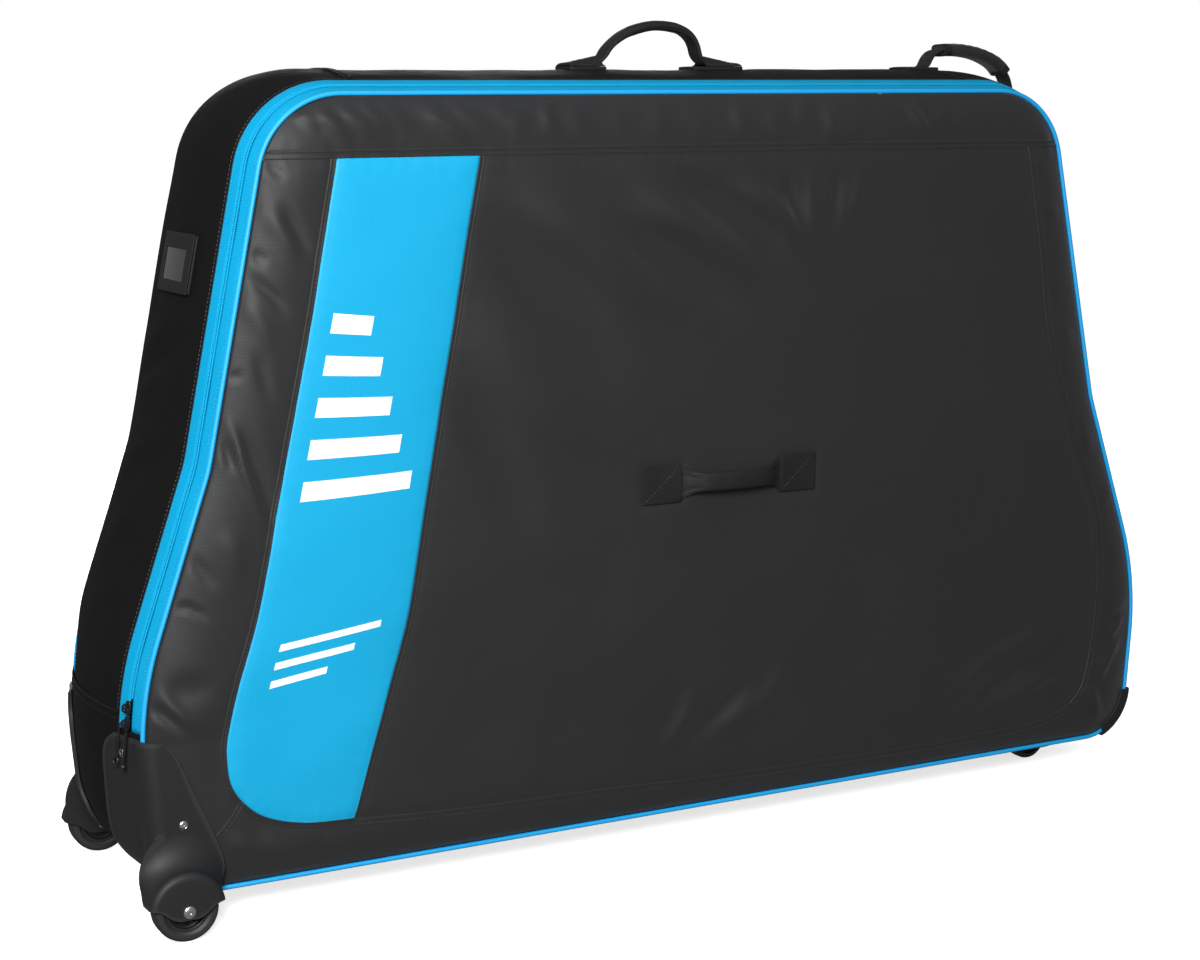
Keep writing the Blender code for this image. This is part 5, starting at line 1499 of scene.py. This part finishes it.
def sectionFrom(*tables):
    # A strap's section from tables of places, counted from the nearer end, and values there.
    def section(share):
        return [np.interp(np.minimum(share, 1 - share), *table) for table in tables]
    return section


def sewnLines(tree, lines, start, heading, toWorld, lift=0.0002, size=0.0032, pitch=0.0042):
    # Rows of stitches between pairs of places, dropped on a piece along a direction.
    made = []
    for first, last in lines:
        steps = max(2, round(math.dist(first, last) / 0.002))
        points = []
        for share in np.linspace(0, 1, steps + 1):
            place = toWorld(first[0] + (last[0] - first[0]) * share,
                            first[1] + (last[1] - first[1]) * share)
            hit = tree.ray_cast(Vector(place) - heading * start, heading)[0]
            if hit is not None:
                points.append(hit - heading * lift)
        if len(points) > 2:
            made.append(stitchLine(np.array(points), size, 0.0004, pitch))
    return made


def boxLines(x1, y1, x2, y2, cross=True):
    lines = [((x1, y1), (x2, y1)), ((x2, y1), (x2, y2)), ((x2, y2), (x1, y2)), ((x1, y2), (x1, y1))]
    if cross:
        lines += [((x1, y1), (x2, y2)), ((x1, y2), (x2, y1))]
    return lines


padStyle = {"half": 0.0195, "thick": 0.003, "lift": 0.0003, "level": 0.8563, "bar": 0.8606}
padTop = padStyle["lift"] + padStyle["thick"]
down = Vector((0, 0, -1))


def webPad(name, start, end):
    half = padStyle["half"]
    across = max(6, round((end - start) / 0.002))

    def place(u, v):
        tuck = 1 - 0.06 * np.abs(2 * u - 1) ** 10
        y = (2 * v - 1) * half * tuck
        walk = start + (end - start) * u
        return skin(walk, y, padTop), packed(walk, y)

    pad = faceOut(gridPiece(name, across, 16, place, blackWebbing), outwardFromMiddle)
    wall(pad, padStyle["thick"] + 0.0008, 0.0008, 3)
    return pad


def sleevePiece(name, tip, mouth):
    # The strap's folded end: a rolled tip, sewn edges and a tent over the loop's foot.
    def place(u, v):
        x = tip + (mouth - tip) * u
        side = np.abs(2 * v - 1)
        roll = np.sqrt(unit(1 - (1 - unit(u / 0.1)) ** 2))
        tent = 1 - smooth(unit((side - 0.12) / 0.78))
        ramp = 0.0028 + (0.0102 - 0.0028) * unit((u - 0.1) / 0.82)
        flat = 0.003 * (1 - side ** 8)
        blendIn = unit((u - 0.06) / 0.25)
        rise = 0.0016 + roll * (flat * (1 - blendIn) + np.maximum(ramp * tent, 0.0006) * blendIn)
        y = (2 * v - 1) * 0.018
        z = padStyle["level"] + rise - 0.0005 - caseShape["endCrown"] * (y / halfDepth) ** 2 * (1 - tent)
        return packed(x, y, z), packed(x, y)

    sleeve = gridPiece(name, 44, 36, place, blackWebbing, angle=60)
    faceOut(sleeve, lambda point: Vector((0, 0, 1)))
    wall(sleeve, 0.0014, 0.0004, 2)
    return sleeve


topStitches = []
for name, low, high, tip, mouth in (("top_handle_anchor_left", -0.097, -0.052, -0.0965, -0.0535),
                                    ("top_handle_anchor_right", 0.06, 0.123, 0.1225, 0.0775)):
    pad = webPad("pad", topWalk(high), topWalk(low))
    sleeve = sleevePiece("sleeve", tip, mouth)
    tree = surfaceTree(sleeve)
    ahead = math.copysign(1, mouth - tip)
    lines = boxLines(tip + ahead * 0.006, -0.015, tip + ahead * 0.02, 0.015)
    lines += [((tip + ahead * 0.022, side), (mouth - ahead * 0.002, side)) for side in (-0.0165, 0.0165)]
    topStitches += sewnLines(tree, lines, 0.05, down, lambda x, y: (x, y, padStyle["level"]))
    stand(joined(name + "_web", [pad, sleeve]), "case", "webbing", name)

loopRoute = [(x, 0, padStyle["bar"] + rise) for x, rise in (
    (-0.069, 0.0), (-0.06, 0.0), (-0.053, 0.0018), (-0.048, 0.0075), (-0.0425, 0.015), (-0.034, 0.0225),
    (-0.021, 0.0305), (-0.004, 0.0365), (0.016, 0.0402), (0.038, 0.0392), (0.054, 0.0345), (0.064, 0.0265),
    (0.069, 0.0175), (0.0715, 0.009), (0.0755, 0.0022), (0.082, 0.0), (0.093, 0.0))]
loopSection = sectionFrom(((0, 0.015, 0.07, 0.11, 0.2, 0.27, 0.36),
                           (0.0016, 0.003, 0.0038, 0.0026, 0.0026, 0.0038, 0.0055)),
                          ((0, 0.015, 0.07, 0.12, 0.2, 0.3, 0.4),
                           (0.006, 0.008, 0.01, 0.0122, 0.0125, 0.0112, 0.0102)),
                          ((0, 0.09, 0.13, 0.26, 0.34), (2.0, 2.0, 4.5, 4.5, 2.6)))


def loopFold(share, angle):
    # The rolled grip shows the edge of its outer turn.
    grip = unit((np.minimum(share, 1 - share) - 0.24) / 0.05)
    return 0.001 * grip * (np.exp(-((angle - 3.6) / 0.16) ** 2) + np.exp(-((angle - 5.9) / 0.16) ** 2))


loop = swept("top_handle_webbing", loopRoute, loopSection, (0, 1, 0), blackWebbing, relief=loopFold)
stand(loop, "top_handle", "webbing", "top_handle_loop",
      blend=((0, 0, padStyle["bar"] + 0.001), (0, 0, padStyle["bar"] + 0.014)))

# Tow handle: pads on the top and over the shoulder, a strap and a padded wrap round it
for name, start, end in (("tow_handle_anchor_left", topWalk(0.396), topWalk(0.35)),
                         ("tow_handle_anchor_right", *towFootWalks)):
    pad = webPad(name + "_web", start, end)
    tree = surfaceTree(pad)
    if name.endswith("left"):
        lines = boxLines(0.3535, -0.016, 0.379, 0.016)
        topStitches += sewnLines(tree, lines, 0.05, down, lambda x, y: (x, y, padStyle["level"]))
    stand(pad, "case", "webbing", name)
stand(joined("handle_stitches", topStitches), "case", "webbing")

towLeft = (0.388, 0.0, padStyle["bar"])
towRight = tuple(spot(np.array([shoulderWalk - 0.1025]), 0.0326, np.array([0.0]))[0])
towFoot = float(skin(topWalk(np.array([0.385])), np.array([0.0]), padTop)[0][2])
towRoute = [(x, 0, z) for x, z in (
    (0.3835, towFoot + 0.0002), (0.3868, towFoot + 0.0018), (0.393, 0.868), (0.4005, 0.8738),
    (0.413, 0.8762), (0.44, 0.876), (0.468, 0.8708), (0.492, 0.86), (0.507, 0.843), (0.513, 0.82))]
towRoute.append(towRight)
towSection = sectionFrom(((0, 0.02, 0.05, 0.1), (0.0014, 0.002, 0.002, 0.0018)),
                         ((0, 0.02, 0.05, 0.1), (0.0112, 0.0122, 0.0125, 0.0125)), ((0, 1), (4.5, 4.5)))
strap = swept("tow_handle_webbing", towRoute, towSection, (0, 1, 0), blackWebbing)
towRise = (Vector(towRight) - Vector(towLeft)).cross(Vector((0, -1, 0))).normalized() * 0.011
stand(strap, "tow_handle", "webbing", "tow_handle_strap", blend=(towLeft, Vector(towLeft) + towRise))
towLine = smoothRoute(towRoute, 0.001)
gripLine = towLine[round(len(towLine) * 0.175):round(len(towLine) * 0.68)]


def gripSection(share):
    inside = np.minimum(share, 1 - share)
    ease = np.sqrt(unit(1 - (1 - unit(inside / 0.02)) ** 2))
    puff = 1 + 0.05 * np.sin(share * 9.0)
    return 0.0054 + 0.0019 * ease * puff, 0.0146 + 0.0009 * ease, 3.2


def gripFolds(share, angle):
    lines = sum(np.exp(-((angle - at) / 0.07) ** 2) for at in (0.28, 2.86, 3.42, 6.0))
    return 0.0008 * lines + 0.0003 * np.sin(share * 60) * np.exp(-((angle - 1.6) / 0.9) ** 2)


grip = swept("tow_grip_wrap", gripLine, gripSection, (0, 1, 0), coatedFabric, spacing=0.002, sides=48,
             relief=gripFolds)
bands = []
for low, high in ((0, 8), (len(gripLine) - 9, len(gripLine) - 1)):
    binding = swept("band", gripLine[low:high + 1:2], lambda share: (0.0074, 0.0157, 3.2), (0, 1, 0),
                    blackWebbing, spacing=0.0015, sides=48, ends=False)
    bands.append(wall(binding, 0.0024))
grip = stand(joined("tow_grip_wrapped", [grip]), "tow_handle", "webbing", "tow_handle_grip")
stand(joined("tow_grip_bindings", bands), "tow_handle", "webbing")
print("handles made")


# Grab handle: the strap runs under two sewn patches

grab = {"z": 0.409, "halfHigh": 0.0215, "halfWide": 0.024, "patches": (-0.05, 0.124), "thick": 0.0012,
        "seat": -0.1374}
inward = Vector((0, 1, 0))
grabStitches = []
for end, middle, facing in zip(("left", "right"), grab["patches"], (1, -1)):
    name = "grab_patch_" + end

    def place(u, v, middle=middle, facing=facing):
        a, b = 2 * u - 1, 2 * v - 1
        x = middle + a * grab["halfWide"] * (1 - 0.012 * np.abs(b) ** 6)
        z = grab["z"] + b * grab["halfHigh"] * (1 - 0.015 * np.abs(a) ** 6)
        mouth = unit((a * facing + 0.1) / 1.1)
        rise = 0.0016 + 0.0019 * mouth * (1 - b ** 4) + 0.0004 * (1 - a ** 2) * (1 - b ** 2)
        return packed(x, grab["seat"] - rise, z), packed(x, z)

    patch = faceOut(gridPiece(name + "_web", 28, 24, place, blackWebbing), forward)
    wall(patch, grab["thick"], 0.0004, 2)
    tree = surfaceTree(patch)
    lines = boxLines(middle - 0.0205, grab["z"] - 0.018, middle + 0.0205, grab["z"] + 0.018)
    grabStitches += sewnLines(tree, lines, 0.05, inward, lambda x, z: (x, -0.137, z))
    stand(patch, "lid", "webbing", name)
stand(joined("grab_stitches", grabStitches), "lid", "webbing")

grabRoute = [(x, y, grab["z"]) for x, y in ((-0.0345, -0.1383), (-0.027, -0.1384), (-0.0215, -0.1398),
             (-0.015, -0.1432), (-0.006, -0.1474), (0.01, -0.1508), (0.037, -0.1524), (0.064, -0.1508),
             (0.08, -0.1474), (0.089, -0.1432), (0.0955, -0.1398), (0.101, -0.1384), (0.1085, -0.1383))]
grabSection = sectionFrom(((0, 0.07, 0.14, 0.26), (0.0007, 0.0008, 0.0022, 0.004)),
                          ((0, 0.055, 0.1, 0.16, 0.24), (0.0195, 0.0192, 0.015, 0.0118, 0.0104)),
                          ((0, 0.1, 0.25), (5.0, 4.0, 2.8)))


def grabFolds(share, angle):
    inside = np.minimum(share, 1 - share)
    roll = unit((inside - 0.12) / 0.1)
    puckers = unit((0.24 - inside) / 0.1) * unit((inside - 0.06) / 0.03)
    return (0.0011 * roll * np.exp(-((angle - 4.35) / 0.13) ** 2)
            + 0.0009 * puckers * (0.5 + 0.5 * np.cos(angle * 9 + 1.2)))


strap = swept("grab_webbing", grabRoute, grabSection, (0, 0, 1), blackWebbing, spacing=0.0016, sides=48,
              relief=grabFolds)
stand(strap, "lid", "webbing", "grab_strap")
print("grab handle made")


# Label pocket on the left end

pocket = {"top": 0.683, "bottom": 0.625, "half": 0.046, "windowTop": 0.67, "windowBottom": 0.636,
          "windowHalf": 0.033, "cardHalf": 0.029, "middle": 0.656, "cellSize": 0.0015}
leanOut = float(edgeAt(walkAtHeight(pocket["middle"], -1))[3])
pocketCrown = float(crownAt(pocket["middle"]))


def insideWindow(point):
    # The window's edges follow the end's curve, so each point is first taken back to the flat.
    point = point - Vector((0, 0, leanOut * pocketCrown * (1 - (point.y / halfDepth) ** 2)))
    low, high = pocket["windowBottom"] + 0.001, pocket["windowTop"] - 0.001
    return abs(point.y) < pocket["windowHalf"] - 0.001 and low < point.z < high


# Each layer of the pocket: its edges, lift, wall, rounded rim, finish, slot and solid
for name, high, low, half, lift, thick, rim, finish, slotName, nodes in (
        ("backing", pocket["top"], pocket["bottom"], pocket["half"], 0.0021, 0.0027, 0.0, panelNylon,
         "webbing", ("label_pocket_back",)),
        ("card", pocket["windowTop"] - 0.003, pocket["windowBottom"] + 0.003, pocket["cardHalf"], 0.0028,
         0.0004, 0.0, greyCard, "webbing", ()),
        ("film", pocket["windowTop"] + 0.001, pocket["windowBottom"] - 0.001, pocket["windowHalf"] + 0.001,
         0.0036, 0.0004, 0.0, clearFilm, "clear_film", ("label_pocket_window",)),
        ("binding", pocket["top"] + 0.001, pocket["bottom"] - 0.001, pocket["half"] + 0.001, 0.0046, 0.0009,
         0.0003, blackWebbing, "webbing", ())):
    sheet = stripPiece("label_" + name, walkAtHeight(high, -1), walkAtHeight(low, -1), -half, half, finish,
                       step=pocket["cellSize"], rows=max(20, round(half / 0.0012)), lift=lift,
                       drop=insideWindow if name == "binding" else None)
    stand(wall(sheet, thick, rim, 1), "case", slotName, *nodes)
print("label pocket made")


# Inside: quilted linings, a board, a foam block and a hold-down strap

lining = {"inset": 0.071, "top": 0.762, "round": 0.05, "cell": 0.094, "puff": 0.0042, "seat": 0.1298,
          "wall": 0.0024, "halfWidth": 0.5641, "foldGap": 0.019, "rearLow": 0.102}


def halfWidthAt(z):
    climb = sampleWalks <= middleWalk
    inset = np.interp(z, samples[climb, 1], samples[climb, 0]) - lining["inset"]
    near = unit((z - (lining["top"] - lining["round"])) / lining["round"])
    return inset - lining["round"] * (1 - np.sqrt(1 - near ** 2))


def liningPiece(name, body, side, lowEdge, *nodes):
    def place(u, v):
        across = 2 * u - 1
        low = lowEdge(across * lining["halfWidth"])
        z = low + (lining["top"] - low) * v
        x = across * halfWidthAt(z)
        a = np.abs(np.sin(math.pi * x / lining["cell"]) * np.sin(math.pi * (z - 0.05) / lining["cell"]))
        edge = unit(np.minimum(1 - np.abs(across), np.minimum(v, 1 - v) * 1.2) / 0.03)
        rise = lining["puff"] * a ** 0.45 * edge + 0.0003 * np.sin(x / 0.013) * np.sin(z / 0.017) * edge
        return packed(x, side * (lining["seat"] - rise), z), packed(x, z)

    piece = gridPiece(name, 190, 120, place, liningCloth, angle=80)
    faceOut(piece, lambda point: Vector((0, -side, 0)))
    wall(piece, lining["wall"])
    stand(piece, body, "foam", *nodes)


def foldLevel(x):
    return foldPoint.z - foldUp.x / foldUp.z * x + lining["foldGap"]


liningPiece("lid_lining", "lid", -1, foldLevel, "lid_foam")
liningPiece("rear_lining", "case", 1, lambda x: np.full(np.shape(x), lining["rearLow"]), "rear_foam")


def softBlock(name, low, high, finish, rim):
    shape = bmesh.new()
    bmesh.ops.create_cube(shape, size=1.0)
    size = Vector(high) - Vector(low)
    bmesh.ops.scale(shape, vec=size, verts=shape.verts[:])
    bmesh.ops.translate(shape, vec=(Vector(high) + Vector(low)) / 2, verts=shape.verts[:])
    return soften(addPiece(name, shape, finish), rim, 5, 40)


board = softBlock("board", (-0.5545, -0.0995, 0.0384), (0.5545, 0.0995, 0.0442), blackPlastic, 0.0022)
stand(board, "case", "moulded_plastic", "floor_board")
# A groove for the strap runs along the block's top.
block = softBlock("foam_block", (-0.0598, -0.0598, 0.0447), (0.1198, 0.0598, 0.0784), softFoam, 0.006)
groove = softBlock("groove", (-0.09, -0.014, 0.064), (0.15, 0.014, 0.09), softFoam, 0.004)
finishMesh(groove)
cut(block, groove)
block.name = "frame_cradle"
stand(block, "case", "foam", "frame_block")

strapLine = [(-0.14, y, z) for y, z in ((-0.0895, 0.04565), (-0.06, 0.04565), (-0.035, 0.0459),
                                        (0.0, 0.046), (0.035, 0.0459), (0.06, 0.04565), (0.0895, 0.04565))]
strap = swept("hold_down_webbing", strapLine, lambda share: (0.0009, 0.0188, 6.0), (1, 0, 0), blackWebbing,
              spacing=0.004)
tree = surfaceTree(strap)
strapRows = []
for y in (-0.083, 0.06):
    strapRows += sewnLines(tree, boxLines(-0.155, y, -0.125, y + 0.023), 0.05, down,
                           lambda x, y: (x, y, 0.046))
stand(strap, "case", "webbing", "hold_down_strap")
stand(joined("hold_down_stitches", strapRows), "case", "webbing")
buckle = softBlock("buckle", (-0.164, -0.016, 0.0467), (-0.116, 0.016, 0.053), blackPlastic, 0.0018)
for y in (-0.009, 0.009):
    slotTool = softBlock("slot", (-0.159, y - 0.0035, 0.044), (-0.121, y + 0.0035, 0.056), blackPlastic,
                         0.001)
    finishMesh(slotTool)
    cut(buckle, slotTool)
buckle.name = "strap_slider"
stand(buckle, "case", "webbing")
print("inside made")


# Kept CAD pieces get their finishes

keptFinishes = {
    "matte_nylon": matteNylon, "coated_fabric": coatedFabric, "blue_fabric": blueFabric,
    "blue_trim": blueTape, "webbing": blackWebbing, "moulded_plastic": mouldedPlastic, "foam": softFoam,
    "tyre_rubber": tyreRubber, "bright_steel": brightSteel, "black_metal": blackMetal,
    "clear_film": clearFilm,
}
for part in frame["record"]["subparts"]:
    item = frame["nodes"][part["node"]]
    if item.hide_render:
        continue
    item.data.materials.clear()
    item.data.materials.append(keptFinishes[part["material_slot"]])


# Floor, light and camera

studio = {
    "floorSize": 60.0, "paper": (0.9, 0.9, 0.9), "glow": 0.72, "world": 0.22, "backdrop": 1.0, "sun": 0.7,
    "sunSize": 70, "sunTilt": (14, -8), "camera": (-1.2334, -2.2134, 0.8287), "yaw": 0.49021,
    "pitch": 0.1719, "roll": 0.0033, "lens": 67.11,
    # Round lamps: place, what they look at, size and power
    "lamps": {"key": ((-1.45, -1.9, 1.35), (-0.25, 0, 0.45), 0.9, 96.0),
              "side": ((-2.6, 0.9, 1.3), (-0.4, 0, 0.3), 0.9, 1.0),
              "back": ((0.9, 2.8, 0.9), (0.0, 0, 0.4), 1.6, 60.0)},
}


def placed(name, data):
    item = bpy.data.objects.new(name, data)
    bpy.context.scene.collection.objects.link(item)
    return item


paper = newFinish("paper", studio["paper"], 0.75)
glow = paper.node_tree.nodes["Principled BSDF"]
glow.inputs["Emission Color"].default_value = (1.0, 1.0, 1.0, 1.0)
glow.inputs["Emission Strength"].default_value = studio["glow"]
shape = bmesh.new()
bmesh.ops.create_grid(shape, x_segments=1, y_segments=1, size=studio["floorSize"] / 2)
floor = addPiece("floor", shape, paper)
floor.visible_diffuse = False
floor.visible_glossy = False
for name, (spotPlace, target, size, power) in studio["lamps"].items():
    lamp = bpy.data.lights.new(name, "AREA")
    lamp.energy = power
    lamp.shape = "DISK"
    lamp.size = size
    item = placed(name, lamp)
    item.location = spotPlace
    item.rotation_euler = (Vector(target) - Vector(spotPlace)).to_track_quat("-Z", "Y").to_euler()
skyLamp = bpy.data.lights.new("overhead", "SUN")
skyLamp.energy = studio["sun"]
skyLamp.angle = math.radians(studio["sunSize"])
placed("overhead", skyLamp).rotation_euler = (*[math.radians(turn) for turn in studio["sunTilt"]], 0)
world = bpy.data.worlds.new("studio")
world.use_nodes = True
sky = world.node_tree.nodes["Background"]
sky.inputs["Color"].default_value = (1.0, 1.0, 1.0, 1.0)
seen = world.node_tree.nodes.new("ShaderNodeLightPath")
strength = world.node_tree.nodes.new("ShaderNodeMapRange")
strength.inputs["To Min"].default_value = studio["world"]
strength.inputs["To Max"].default_value = studio["backdrop"]
world.node_tree.links.new(seen.outputs["Is Camera Ray"], strength.inputs["Value"])
world.node_tree.links.new(strength.outputs["Result"], sky.inputs["Strength"])
bpy.context.scene.world = world
bpy.context.scene.view_settings.view_transform = "Standard"

lens = bpy.data.cameras.new("photoView")
lens.lens = studio["lens"]
lens.sensor_width = 36.0
lens.clip_end = 100.0
camera = placed("photoView", lens)
aim = Matrix.Rotation(-studio["yaw"], 4, "Z") @ Matrix.Rotation(math.radians(90) - studio["pitch"], 4, "X")
camera.matrix_world = Matrix.Translation(studio["camera"]) @ aim @ Matrix.Rotation(-studio["roll"], 4, "Z")
bpy.context.scene.camera = camera
print("floor, light and camera set")
